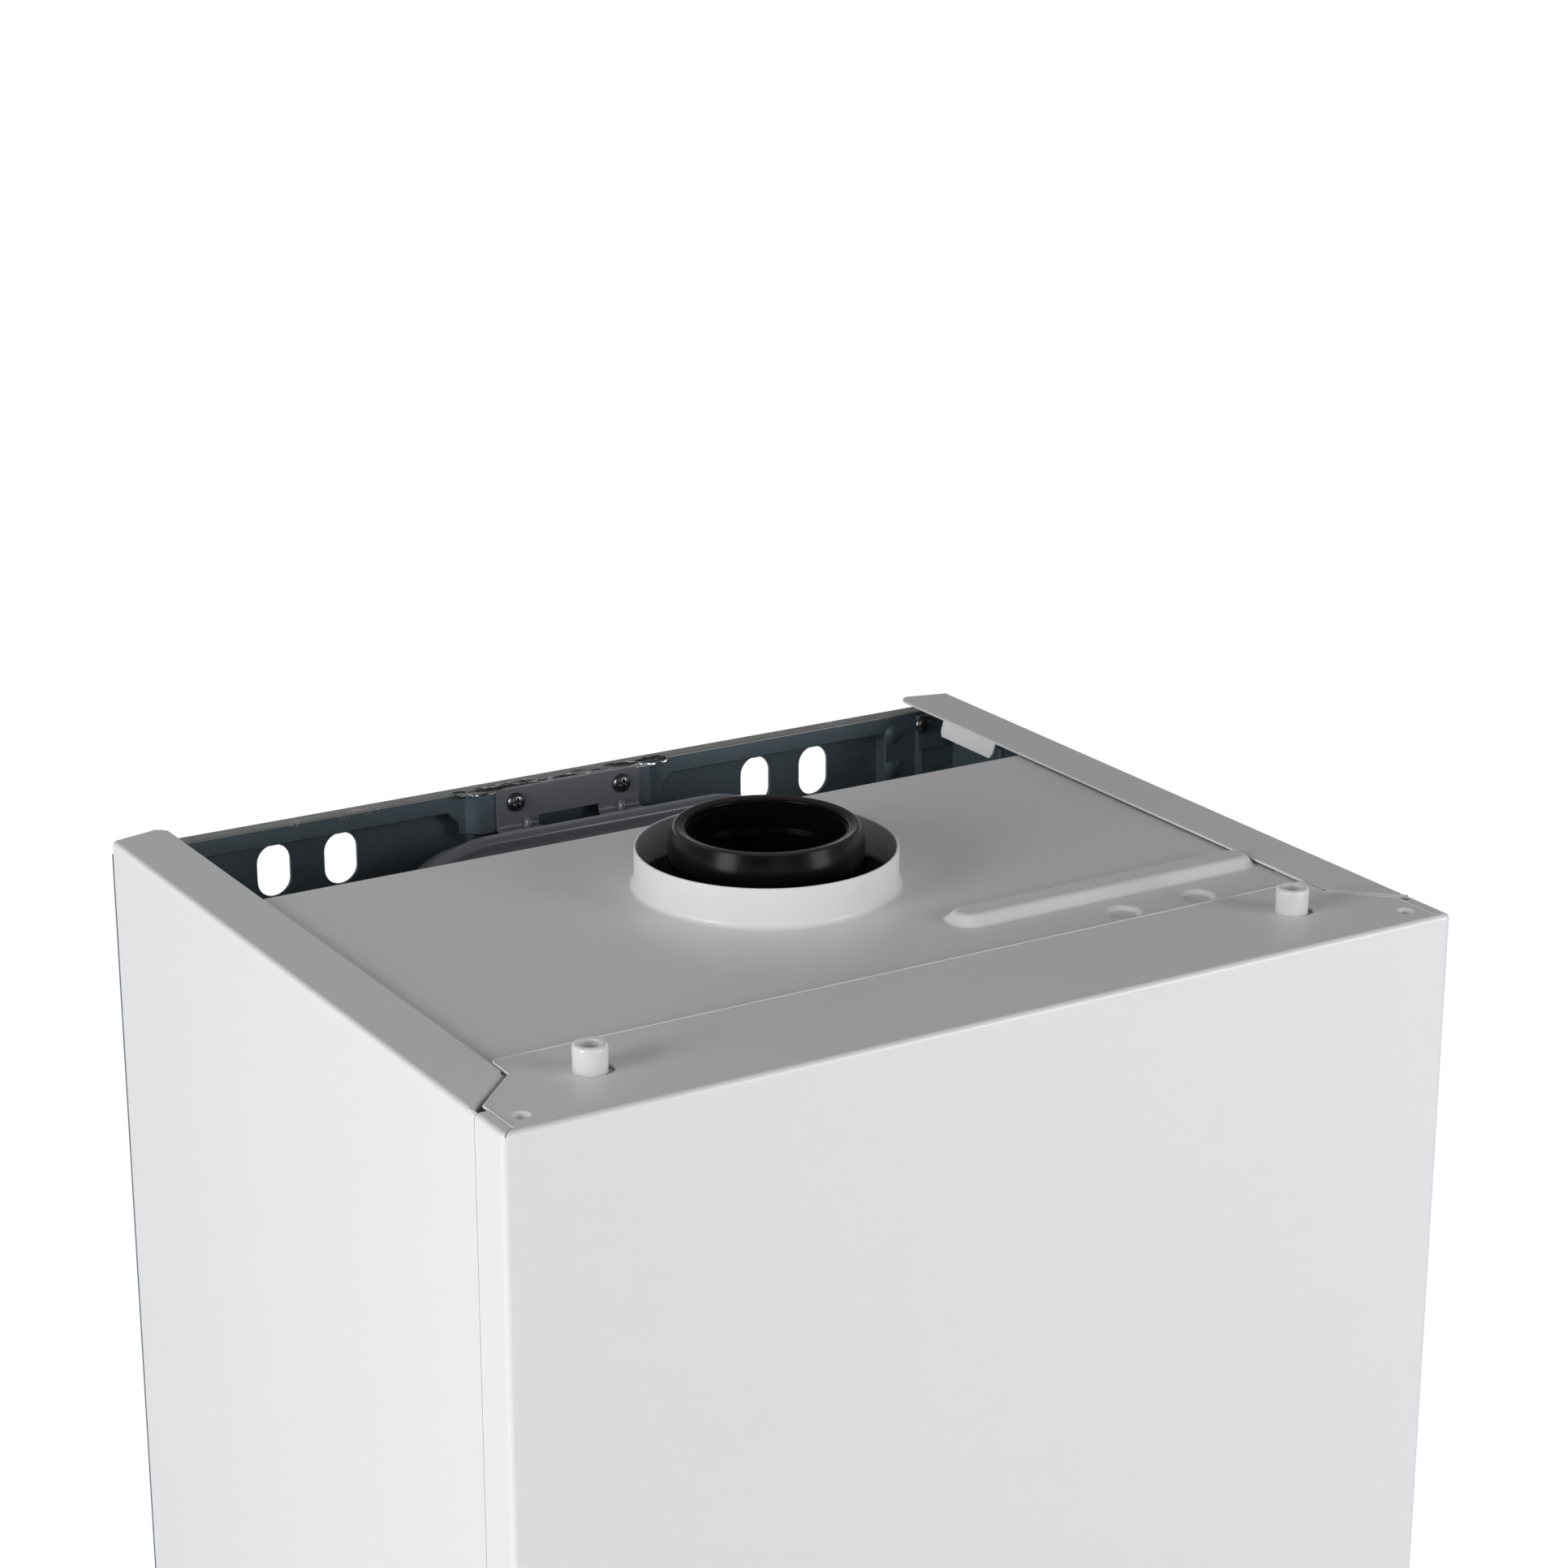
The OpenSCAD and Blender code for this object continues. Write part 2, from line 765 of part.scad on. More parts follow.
module fan_housing() {
    wall = 2;
    in_r = fan_r + fan_gap;
    low_z = fan_z;
    color([0.75, 0.76, 0.77])
        difference() {
            union() {
                rod([fan_x, scroll_front, fan_z], [0, 1, 0], scroll_d, scroll_r);
                slab(-duct_x, duct_x, scroll_front, scroll_back, low_z, cham_top - 14);
                translate([0, flue_y, cham_top - 15])
                    cylinder(h = spigot_top - cham_top + 15, r = spigot_r);
            }
            rod([fan_x, scroll_front + wall, fan_z], [0, 1, 0], scroll_d - 2 * wall, in_r);
            slab(-duct_x + wall, duct_x - wall, scroll_front + wall, scroll_back - wall,
                low_z, cham_top - 16);
            translate([0, flue_y, cham_top - 17])
                cylinder(h = 80, r = spigot_r - wall);
            rod([fan_x, scroll_back - wall - 1, fan_z], [0, 1, 0], wall + 2, eye_r);
            rod([fan_x, scroll_front - 1, fan_z], [0, 1, 0], wall + 2, shaft_r + 1);
        }
}

module fan_motor() {
    front = scroll_front - 46;
    color([0.28, 0.29, 0.3])
        difference() {
            union() {
                rod([fan_x, front, fan_z], [0, 1, 0], 40, fan_motor_r);
                rod([fan_x, scroll_front - 6, fan_z], [0, 1, 0], 6, fan_motor_r + 6);
            }
            rod([fan_x, scroll_front - 30, fan_z], [0, 1, 0], 31, shaft_r + run_fit);
        }
}

module fan_impeller() {
    back = flue_y + fan_w / 2;
    front = flue_y - fan_w / 2;
    disc = 2;
    hub = 9;
    color(steel)
        union() {
            rod([fan_x, scroll_front - 28, fan_z], [0, 1, 0], front + 10 - scroll_front + 28, shaft_r);
            rod([fan_x, front, fan_z], [0, 1, 0], 16, hub);
            rod([fan_x, front, fan_z], [0, 1, 0], disc, fan_r);
            tube([fan_x, back - disc, fan_z], [0, 1, 0], disc, fan_r, fan_r - 9);
            for (i = [0 : fan_blades - 1])
                translate([fan_x, 0, fan_z])
                    rotate([0, i * 360 / fan_blades, 0])
                        translate([fan_r - 8.5, front + disc / 2, -0.6])
                            rotate([0, 28, 0])
                                cube([8, fan_w - disc, 1.2]);
        }
}

module smoke_hood() {
    wall = 1;
    x = core_w / 2;
    y0 = case_mid_y - core_d / 2;
    y1 = case_mid_y + core_d / 2;
    r0 = scroll_back;
    r1 = min(y1, scroll_back + 44);
    top = fan_z + scroll_r - 4;
    color(steel)
        difference() {
            union() {
                slab(-x, x, y0, y1, hood_z, hood_z + 6);
                slab(-x + 14, x - 14, y0 + 14, y1 - 6, hood_z, hood_z + hood_h);
                slab(fan_x - riser_w / 2, fan_x + riser_w / 2, r0, r1, hood_z, top);
            }
            slab(-x + wall, x - wall, y0 + wall, y1 - wall, hood_z - 1, hood_z + 6 - wall);
            slab(-x + 14 + wall, x - 14 - wall, y0 + 14 + wall, y1 - 6 - wall, hood_z - 1,
                hood_z + hood_h - wall);
            slab(fan_x - riser_w / 2 + wall, fan_x + riser_w / 2 - wall, r0 + wall, r1 - wall,
                hood_z - 1, top - wall);
            rod([fan_x, r0 - 1, fan_z], [0, 1, 0], wall + 2, eye_r);
        }
}

// Heat exchanger and burner

module exchanger_fins() {
    x = core_w / 2;
    y0 = case_mid_y - core_d / 2;
    end_t = 2;
    fin_t = 0.8;
    color(copper)
        difference() {
            union() {
                for (s = [-1, 1])
                    slab(min(s * x, s * (x - end_t)), max(s * x, s * (x - end_t)), y0, y0 + core_d,
                        core_z, hood_z);
                for (y = [y0, y0 + core_d - 1])
                    slab(-x, x, y, y + 1, core_z, hood_z);
                for (i = [1 : fin_n])
                    slab(-x + i * 2 * x / (fin_n + 1) - fin_t / 2, -x + i * 2 * x / (fin_n + 1) + fin_t / 2,
                        y0, y0 + core_d, core_z + 4, hood_z - 6);
            }
            for (k = [-2 : 2])
                rod([-x - 5, case_mid_y + k * tube_pitch, tube_z], [1, 0, 0], core_w + 10, tube_r);
        }
}

module exchanger_tubes() {
    x = core_w / 2;
    reach = x + 4;
    color(copper)
        union() {
            for (k = [-2 : 2])
                rod([-reach, case_mid_y + k * tube_pitch, tube_z], [1, 0, 0], 2 * reach, tube_r);
            for (k = [0 : 3]) {
                s = k % 2 == 0 ? 1 : -1;
                translate([s * reach, case_mid_y + (k - 1.5) * tube_pitch, tube_z])
                    rotate([0, 0, s > 0 ? -90 : 90])
                        rotate_extrude(angle = 180)
                            translate([tube_pitch / 2, 0])
                                circle(tube_r);
            }
            for (s = [-1, 1])
                pipe([[s * reach, s < 0 ? tube_first_y : tube_last_y, tube_z],
                    [s * riser_x, s < 0 ? tube_first_y : tube_last_y, tube_z],
                    [s * riser_x, s < 0 ? tube_first_y : tube_last_y, tube_z - 30]], tube_r, 12);
        }
}

module combustion_case() {
    x = case_w / 2;
    y0 = case_mid_y - case_d / 2;
    y1 = case_mid_y + case_d / 2;
    wall = 1;
    window_x = blade_n * blade_pitch / 2 + 2;
    color(steel)
        union() {
            difference() {
                slab(-x, x, y0, y1, case_z, core_z);
                slab(-x + wall, x - wall, y0 + wall, y1 - wall, case_z - 1, core_z + 1);
                slab(-window_x, window_x, y0 - 1, y0 + 5, rail_z, rail_z + blade_h + 4);
                for (s = [-1, 1])
                    rod([s * 24, y0 - 1, rail_z + blade_h + 20], [0, 1, 0], 5, 4 + fit);
            }
            for (y = [y0 + wall, y1 - wall - 12])
                slab(-x + wall, x - wall, y, y + 12, rail_z - 2, rail_z);
        }
}

module ceramic_panels() {
    wall = 1;
    x = case_w / 2 - wall - fit;
    y0 = case_mid_y - case_d / 2 + wall + fit;
    y1 = case_mid_y + case_d / 2 - wall - fit;
    z0 = rail_z + blade_h + 8;
    z1 = core_z;
    color([0.9, 0.88, 0.83])
        difference() {
            union() {
                slab(-x, x, y0, y0 + ceramic_t, z0, z1);
                slab(-x, x, y1 - ceramic_t, y1, z0, z1);
                for (s = [-1, 1])
                    slab(min(s * x, s * (x - ceramic_t)), max(s * x, s * (x - ceramic_t)),
                        y0 + ceramic_t + fit, y1 - ceramic_t - fit, z0, z1);
            }
            for (s = [-1, 1])
                rod([s * 24, y0 - 1, rail_z + blade_h + 20], [0, 1, 0], ceramic_t + 5, 4 + fit);
        }
}

module burner_blades() {
    y0 = case_mid_y - blade_d / 2 - 8;
    color(steel)
        for (i = [0 : blade_n - 1])
            translate([(i - (blade_n - 1) / 2) * blade_pitch, y0, rail_z])
                difference() {
                    cube_at(blade_w, blade_d, blade_h);
                    for (k = [0 : 4])
                        translate([-1, 14 + k * (blade_d - 28) / 5, blade_h - 20])
                            cube([2, (blade_d - 28) / 5 - 5, 21]);
                    translate([0, -1, manifold_z - rail_z])
                        rotate([-90, 0, 0])
                            cylinder(h = blade_d - 20, r = 4.5);
                }
}

// A block centred on X that starts at Y and Z nought
module cube_at(w, d, h)
    translate([-w / 2, 0, 0])
        cube([w, d, h]);

module gas_manifold() {
    l = blade_n * blade_pitch + 6;
    color(brass)
        union() {
            difference() {
                translate([-l / 2, manifold_y - manifold_d / 2, manifold_z - 8])
                    cube([l, manifold_d, 16]);
                rod([-l / 2 - 1, manifold_y, manifold_z], [1, 0, 0], l - 5, 5);
            }
            for (i = [0 : blade_n - 1])
                rod([(i - (blade_n - 1) / 2) * blade_pitch, manifold_y + manifold_d / 2, manifold_z],
                    [0, 1, 0], 5, 3);
        }
}

module electrodes() {
    ceramic_l = 34;
    y0 = case_front - 12;
    z = rail_z + blade_h + 20;
    color([0.9, 0.9, 0.88])
        for (s = [-1, 1])
            union() {
                rod([s * 24, y0, z], [0, 1, 0], ceramic_l, 4);
                rod([s * 24, y0 - 8, z], [0, 1, 0], ceramic_l + 28, 1.5);
            }
}

module air_pressure_switch() {
    x = cham_x - 60;
    z = -40;
    color([0.85, 0.85, 0.83])
        union() {
            rod([x, cham_back - cham_t - 24, z], [0, 1, 0], 24, 28);
            rod([x, cham_back - cham_t - 34, z], [0, 1, 0], 10, 10);
            for (s = [-1, 1])
                rod([x + s * 16, cham_back - cham_t - 34, z], [0, 1, 0], 10, 2.5);
        }
}

// Two soft tubes from the pressure switch to the fan's outlet duct
module pressure_tubes() {
    x = cham_x - 60;
    z = -40;
    y = cham_back - cham_t - 34;
    color([0.8, 0.5, 0.4])
        for (s = [-1, 1])
            pipe([[x + s * 16, y, z], [x + s * 16, flue_y + s * 9, z],
                [duct_x, flue_y + s * 9, z]], 3, 8);
}

// Expansion vessel

// One dished half: the rim's outline, drawn in towards the face
module dish(w, h, r, d, s)
    hull() {
        for (sx = [-1, 1], sz = [-1, 1])
            translate([sx * (w / 2 - r), 0, sz * (h / 2 - r)])
                rotate([90, 0, 0])
                    cylinder(h = 0.5, r = r, center = true, $fn = 48);
        for (a = [30, 60, 90])
            for (sx = [-1, 1], sz = [-1, 1])
                translate([sx * (w / 2 - r), s * d * sin(a), sz * (h / 2 - r)])
                    rotate([90, 0, 0])
                        cylinder(h = 0.5, r = r - 22 * (1 - cos(a)), center = true, $fn = 48);
    }

module vessel_half(s) {
    front_d = vessel_d - (-vessel_rim_y - vessel_back) - rim_t;
    back_d = -vessel_rim_y - vessel_back;
    d = s < 0 ? front_d : back_d;
    y = s < 0 ? vessel_rim_y - rim_t : vessel_rim_y;
    w = vessel_w - 6;
    h = vessel_h - 6;
    r = vessel_r - 3;
    translate([0, y, vessel_mid_z])
        difference() {
            dish(w, h, r, d - 0.25, s);
            dish(w - 3, h - 3, r - 1.5, d - 1.75, s);
        }
}

// Half of the crimped rim
module vessel_rim(y0, y1)
    translate([0, y1, vessel_mid_z])
        rotate([90, 0, 0])
            linear_extrude(y1 - y0)
                difference() {
                    round_rect(vessel_w, vessel_h, vessel_r);
                    round_rect(vessel_w - 8, vessel_h - 8, vessel_r - 4);
                }

module vessel_front_shell()
    color(dark_grey)
        union() {
            vessel_half(-1);
            vessel_rim(vessel_rim_y - rim_t - 0.2, vessel_rim_y - rim_t / 2 - 1);
            rod([60, vessel_rim_y - rim_t - 12, vessel_low - 14], [0, 0, 1], 22, 4);
        }

module vessel_rear_shell()
    color(dark_grey)
        union() {
            vessel_half(1);
            vessel_rim(vessel_rim_y - rim_t / 2 + 1, vessel_rim_y + 0.2);
        }

module vessel_diaphragm()
    color([0.12, 0.12, 0.12])
        translate([0, vessel_rim_y - rim_t / 2 + 1, vessel_mid_z])
            rotate([90, 0, 0])
                linear_extrude(2)
                    round_rect(vessel_w - 1, vessel_h - 1, vessel_r - 0.5);

module vessel_bracket() {
    x = bracket_w / 2;
    front = -frame_d - frame_t;
    corner = 3.5;
    color([0.4, 0.43, 0.46])
        difference() {
            union() {
                translate([0, -frame_d, (bracket_z0 + bracket_z1) / 2])
                    rotate([90, 0, 0])
                        linear_extrude(frame_t)
                            round_rect(bracket_w, bracket_z1 - bracket_z0, corner);
                slab(-x + 1, x - 1, front - bracket_foot, -frame_d, bracket_z0, bracket_z0 + frame_t);
            }
            slab(-14.5, 14.5, front - 2, -frame_d + 1, bracket_z0 - 1, bracket_z0 + 3.5);
        }
}

// Gas side

module gas_valve() {
    color([0.72, 0.73, 0.74])
        union() {
            slab(-valve_w / 2, valve_w / 2, valve_y - valve_d / 2, valve_y + valve_d / 2, valve_z,
                valve_z + valve_h);
            rod([-14, valve_y - valve_d / 2 - solenoid_l, valve_z + valve_h / 2], [0, 1, 0],
                solenoid_l, 15);
            rod([17, valve_y - valve_d / 2 - regulator_l, valve_z + valve_h / 2], [0, 1, 0],
                regulator_l, 9);
            rod([0, valve_y, valve_z - valve_boss_h], [0, 0, 1], valve_boss_h, gas_r + 6);
            rod([0, valve_y, valve_z + valve_h], [0, 0, 1], valve_boss_h, gas_r + 6);
        }
}

module gas_pipes() {
    color([0.72, 0.6, 0.4])
        union() {
            pipe([[0, valve_y, valve_z + valve_h + valve_boss_h], [0, valve_y, gas_turn_z],
                [0, manifold_y, gas_turn_z], [0, manifold_y, manifold_z - 8]], gas_r, 14);
            pipe([[0, stub_line, tray_z + tray_t + 8], [0, stub_line, valve_z - 60],
                [0, valve_y, valve_z - 60], [0, valve_y, valve_z - valve_boss_h]], gas_r, 10);
        }
}

// Water side

module pump_body() {
    back = pump_y + volute_d / 2;
    low = block_z + block_h;
    color([0.3, 0.31, 0.32])
        difference() {
            union() {
                rod([pump_x, pump_y - volute_d / 2, pump_z], [0, 1, 0], volute_d, volute_r);
                rod([riser_x, pump_y, pump_z], [0, 0, 1], volute_r + 14, riser_r + 3);
                rod([pump_x, pump_y, low], [0, 0, 1], pump_z - low, 14);
                rod([pump_x, pump_y, pump_z], [0, 0, 1], volute_r + 8, 8);
            }
            rod([pump_x, pump_y - volute_d / 2 - 1, pump_z], [0, 1, 0], volute_d - 3, pump_r + 2);
        }
}

module pump_motor() {
    face = pump_y - volute_d / 2;
    color([0.15, 0.16, 0.18])
        difference() {
            union() {
                rod([pump_x, face - 6, pump_z], [0, 1, 0], 6, volute_r);
                rod([pump_x, face - 76, pump_z], [0, 1, 0], 70, volute_r - 4);
                slab(pump_x - 24, pump_x + 24, face - 60, face - 14, pump_z + volute_r - 12,
                    pump_z + volute_r + 12);
            }
            rod([pump_x, face - 50, pump_z], [0, 1, 0], 51, shaft_r + run_fit);
        }
}

module pump_impeller() {
    face = pump_y - volute_d / 2;
    color([0.85, 0.83, 0.75])
        union() {
            rod([pump_x, face - 48, pump_z], [0, 1, 0], 60, shaft_r);
            rod([pump_x, face + 4, pump_z], [0, 1, 0], 2, pump_r);
            tube([pump_x, face + 16, pump_z], [0, 1, 0], 2, pump_r, 11);
            for (i = [0 : 5])
                translate([pump_x, 0, pump_z])
                    rotate([0, i * 60, 0])
                        translate([11.5, face + 5, -1])
                            rotate([0, 20, 0])
                                cube([pump_r - 13.5, 12, 2]);
        }
}

module air_vent() {
    z = pump_z + volute_r + 8;
    color(brass)
        union() {
            rod([pump_x, pump_y, z], [0, 0, 1], 34, 13);
            rod([pump_x, pump_y, z + 34], [0, 0, 1], 6, 4);
        }
}

module return_block() {
    x1 = 2 * stub_pitch + 20;
    bore_z = block_z + 10;
    color([0.22, 0.23, 0.25])
        difference() {
            slab(return_x, x1, return_front, block_back, block_z, block_z + block_h);
            translate([stub_pitch, stub_line, bore_z])
                cylinder(h = 24, r = turbine_r + 1);
            translate([tap_x, stub_line, block_z - 1])
                cylinder(h = 21, r = 3 + run_fit);
        }
}

// The turbine that senses the flow of tap water, on its pin
module flow_turbine() {
    z = block_z + 10;
    color([0.9, 0.9, 0.88])
        translate([stub_pitch, stub_line, z])
            union() {
                translate([0, 0, fit])
                    cylinder(h = 20, r = 2);
                for (i = [0 : 5])
                    rotate([0, 0, 60 * i])
                        translate([0, -0.5, 4])
                            cube([turbine_r, 1, 10]);
            }
}

module flow_block() {
    x0 = -2 * stub_pitch - 20;
    x1 = -stub_pitch + 18;
    stem_x = -1.5 * stub_pitch;
    color([0.22, 0.23, 0.25])
        difference() {
            slab(x0, x1, block_front, block_back, block_z, block_z + block_h);
            translate([stem_x, stub_line, stem_z - 6])
                cylinder(h = 24, r = 11);
            translate([stem_x, stub_line, stem_z])
                cylinder(h = block_h, r = stem_r + run_fit);
        }
}

module diverter_stem() {
    stem_x = -1.5 * stub_pitch;
    color(steel)
        union() {
            translate([stem_x, stub_line, stem_z])
                cylinder(h = block_z + block_h - stem_z + 20, r = stem_r);
            translate([stem_x, stub_line, stem_z - 5])
                cylinder(h = 6, r = 9.5);
        }
}

module diverter_motor() {
    stem_x = -1.5 * stub_pitch;
    z = block_z + block_h;
    color([0.93, 0.93, 0.9])
        difference() {
            union() {
                translate([stem_x, stub_line, z])
                    cylinder(h = 14, r = 16);
                slab(stem_x - 20, stem_x + 20, stub_line - 22, stub_line + 22, z + 14, z + 56);
            }
            translate([stem_x, stub_line, z - 1])
                cylinder(h = 22 + stem_stroke + 2, r = stem_r + run_fit);
        }
}

module plate_exchanger() {
    x = stub_pitch + 25;
    y0 = block_back + 5;
    pitch = (vessel_d - 40) / plate_n;
    color([0.72, 0.7, 0.66])
        union() {
            for (i = [0 : plate_n - 1])
                translate([0, y0 + (i + 1) * pitch, block_z + block_h / 2])
                    rotate([90, 0, 0])
                        linear_extrude(pitch * (i == plate_n - 1 ? 1 : 0.7))
                            round_rect(2 * x, block_h, 12);
            translate([0, y0 + plate_n * pitch - 0.1, block_z + block_h / 2])
                rotate([90, 0, 0])
                    linear_extrude(plate_n * pitch - 0.2)
                        round_rect(2 * x - 5, block_h - 5, 10);
            for (s = [-1, 1], k = [0, 1])
                rod([s * (stub_pitch + 8), block_back, block_z + 14 + k * (block_h - 28)], [0, 1, 0], 6, 8);
        }
}

module safety_valve() {
    color(brass)
        difference() {
            union() {
                rod([relief_x, return_front - relief_reach, relief_z], [0, 1, 0], relief_reach, 12);
                rod([relief_x + 8, return_front - 14, relief_z], [1, 0, 0], 18, 8);
            }
            rod([relief_x, return_front - relief_reach - 1, relief_z], [0, 1, 0], 20, 3 + run_fit);
        }
}

module safety_valve_knob()
    color([0.75, 0.1, 0.08])
        union() {
            rod([relief_x, grip_front, relief_z], [0, 1, 0], relief_grip_l, 13);
            rod([relief_x, return_front - relief_reach - 4, relief_z], [0, 1, 0], 20, 3);
            rod([relief_x, grip_front - 4, relief_z], [0, 1, 0], 4, 9);
            slab(relief_x - 14, relief_x + 14, return_front - relief_reach - 16,
                return_front - relief_reach - 8, relief_z - 2, relief_z + 2);
        }

// The gauge faces down, where it is read under the boiler
module pressure_gauge() {
    z = tray_z - 8;
    color([0.9, 0.9, 0.9])
        translate([gauge_x, gauge_y, z])
            difference() {
                union() {
                    cylinder(h = 26, r = gauge_r);
                    translate([0, 0, 8 - 2])
                        cylinder(h = 2, r = gauge_r + 3);
                }
                translate([0, 0, -1])
                    cylinder(h = 5, r = gauge_r - 2);
                translate([0, 0, 3])
                    cylinder(h = 4, r = 1 + run_fit);
            }
}

module gauge_needle() {
    z = tray_z - 8;
    color([0.8, 0.1, 0.08])
        translate([gauge_x, gauge_y, z])
            union() {
                translate([0, 0, 2])
                    cylinder(h = 4.5, r = 1);
                translate([0, 0, 2])
                    cylinder(h = 1, r = 3);
                translate([-0.6, -5, 2])
                    cube([1.2, gauge_r + 1, 1]);
            }
}

module filling_tap() {
    color([0.1, 0.25, 0.6])
        translate([tap_x, stub_line, 0])
            union() {
                translate([0, 0, tray_z - 8])
                    cylinder(h = block_z + 18 - tray_z + 8, r = 3);
                translate([0, 0, tray_z - 22])
                    cylinder(h = 16, r = 11);
                translate([-3, -15, tray_z - 20])
                    cube([6, 30, 10]);
            }
}

// Copper risers, the vessel's pipe and the branch to the flow block
module copper_pipes() {
    low = tube_z - 30;
    flow_x = -2 * stub_pitch;
    color(copper)
        union() {
            pipe([[-riser_x, tube_first_y, low], [-riser_x, tube_first_y, flow_turn_z],
                [-riser_x, stub_line, flow_turn_z], [-riser_x, stub_line, block_z + block_h]],
                riser_r, 16);
            pipe([[riser_x, tube_last_y, low], [riser_x, tube_last_y, pump_z + volute_r + 14]],
                riser_r, 16);
            pipe([[0, vessel_pipe_y, vessel_low - 0.5], [0, vessel_pipe_y, vessel_low - 34],
                [return_x + 10, vessel_pipe_y, vessel_low - 34],
                [return_x + 10, block_back - 12, vessel_low - 34],
                [return_x + 10, block_back - 12, block_z + block_h]], 5, 8);
            pipe([[gauge_x, gauge_y, tray_z + 18], [gauge_x, gauge_y, block_z + 40],
                [return_x + 10, gauge_y, block_z + 40], [return_x + 10, return_front, block_z + 40]],
                1.5, 6);
        }
}

module pipe_stubs() {
    color(brass)
        for (i = [-2 : 2]) {
            r = abs(i) == 1 ? small_stub_r : stub_r;
            top = i == 0 ? tray_z + tray_t + 8 : block_z;
            translate([i * stub_pitch, stub_line, tray_z - stub_l])
                difference() {
                    union() {
                        cylinder(h = top - tray_z + stub_l, r = r);
                        translate([0, 0, stub_l - 14])
                            cylinder(h = 14, r = r + 3, $fn = 6);
                    }
                    translate([0, 0, -1])
                        cylinder(h = stub_l, r = r - 3);
                }
        }
}

// Controls

module control_box() {
    cup_r = knob_r + 3;
    cup_d = 6;
    guide_d = 12;
    win_x = display_w / 2;
    win_z = display_h / 2;
    key_x = button_w / 2 + fit;
    key_z = button_z + 5 + fit;
    color(panel_white)
        difference() {
            union() {
                slab(-fascia_x, fascia_x, front_y, front_y + fascia_t, bottom_z, bottom_z + fascia_h);
                for (s = [-1, 1])
                    slab(min(s * fascia_x, s * (fascia_x - 2.5)), max(s * fascia_x, s * (fascia_x - 2.5)),
                        front_y, front_y + return_d - 2, bottom_z, bottom_z + fascia_h);
                difference() {
                    slab(-box_x, box_x, front_y, box_back, box_z0, box_z1);
                    slab(-box_x + wall_t, box_x - wall_t, box_front, box_back + 1,
                        box_z0 + wall_t, box_z1 - wall_t);
                }
                for (s = [-1, 1])
                    rod([s * knob_x, front_y, dial_z], [0, 1, 0], cup_d + wall_t, cup_r + wall_t);
                for (s = [-1, 1])
                    rod([s * knob_x, front_y, dial_z], [0, 1, 0], cup_d + guide_d, 6);
                slab(-win_x - wall_t, win_x + wall_t, front_y, box_front + guide_d,
                    dial_z - win_z - wall_t, dial_z + win_z + wall_t);
                slab(button_x - key_x - wall_t, button_x + key_x + wall_t, front_y,
                    box_front + guide_d, dial_z - key_z - wall_t, dial_z + key_z + wall_t);
                for (s = [-1, 1])
                    rod([s > 0 ? box_x - 1 : -box_x - ear_t - 4, hinge_y, hinge_z], [1, 0, 0],
                        ear_t + 5, hinge_r);
            }
            for (s = [-1, 1])
                rod([s * knob_x, front_y - 1, dial_z], [0, 1, 0], cup_d + 1, cup_r);
            for (s = [-1, 1])
                rod([s * knob_x, front_y, dial_z], [0, 1, 0], 40, 3 + run_fit);
            slab(-win_x, win_x, front_y - 1, box_front + guide_d + 1, dial_z - win_z, dial_z + win_z);
            for (z = [-button_z, button_z])
                slab(button_x - key_x, button_x + key_x, front_y - 1, box_front + guide_d + 1,
                    dial_z + z - 5 - fit, dial_z + z + 5 + fit);
        }
}

module display()
    color([0.1, 0.16, 0.2])
        slab(-display_w / 2 + fit, display_w / 2 - fit, front_y + 1, box_front + 12 + 4,
            dial_z - display_h / 2 + fit, dial_z + display_h / 2 - fit);

module knob(s)
    color([0.82, 0.83, 0.84])
        difference() {
            union() {
                rod([s * knob_x, front_y + 6 - knob_h, dial_z], [0, 1, 0], knob_h - fit, knob_r);
                rod([s * knob_x, front_y + 2, dial_z], [0, 1, 0], 16, 3);
            }
            translate([s * knob_x - 1, front_y + 5 - knob_h, dial_z + 4])
                cube([2, 2, knob_r]);
        }

module knob_heating()
    knob(-1);

module knob_water()
    knob(1);

module button(z)
    color([0.55, 0.57, 0.6])
        union() {
            slab(button_x - button_w / 2, button_x + button_w / 2, front_y - button_travel - 0.5,
                box_front + 13, dial_z + z - 5, dial_z + z + 5);
            slab(button_x - 2, button_x + 2, box_front + 12, box_front + 15, dial_z + z - 2, dial_z + z + 2);
        }

module button_mode()
    button(button_z);

module button_reset()
    button(-button_z);

module control_board() {
    y = box_front + 17;
    board_t = 1.6;
    coil_h = 22.4;
    relay_h = 16.4;
    color([0.1, 0.4, 0.2])
        union() {
            slab(-box_x + wall_t + fit, box_x - wall_t - fit, y, y + board_t, box_z0 + wall_t + fit,
                box_z1 - wall_t - fit);
            slab(-knob_x - 40, -knob_x + 20, y + board_t, y + board_t + coil_h, box_z0 + 20, box_z0 + 60);
            slab(knob_x - 80, knob_x - 20, y + board_t, y + board_t + relay_h, box_z0 + 30, box_z0 + 50);
        }
}

module control_cover()
    color([0.75, 0.76, 0.77])
        union() {
            slab(-box_x, box_x, box_back, box_back + 2, box_z0, box_z1);
            slab(-box_x + 40, box_x - 40, box_back + 2, box_back + 3.5, box_z0 + 20, box_z1 - 20);
        }

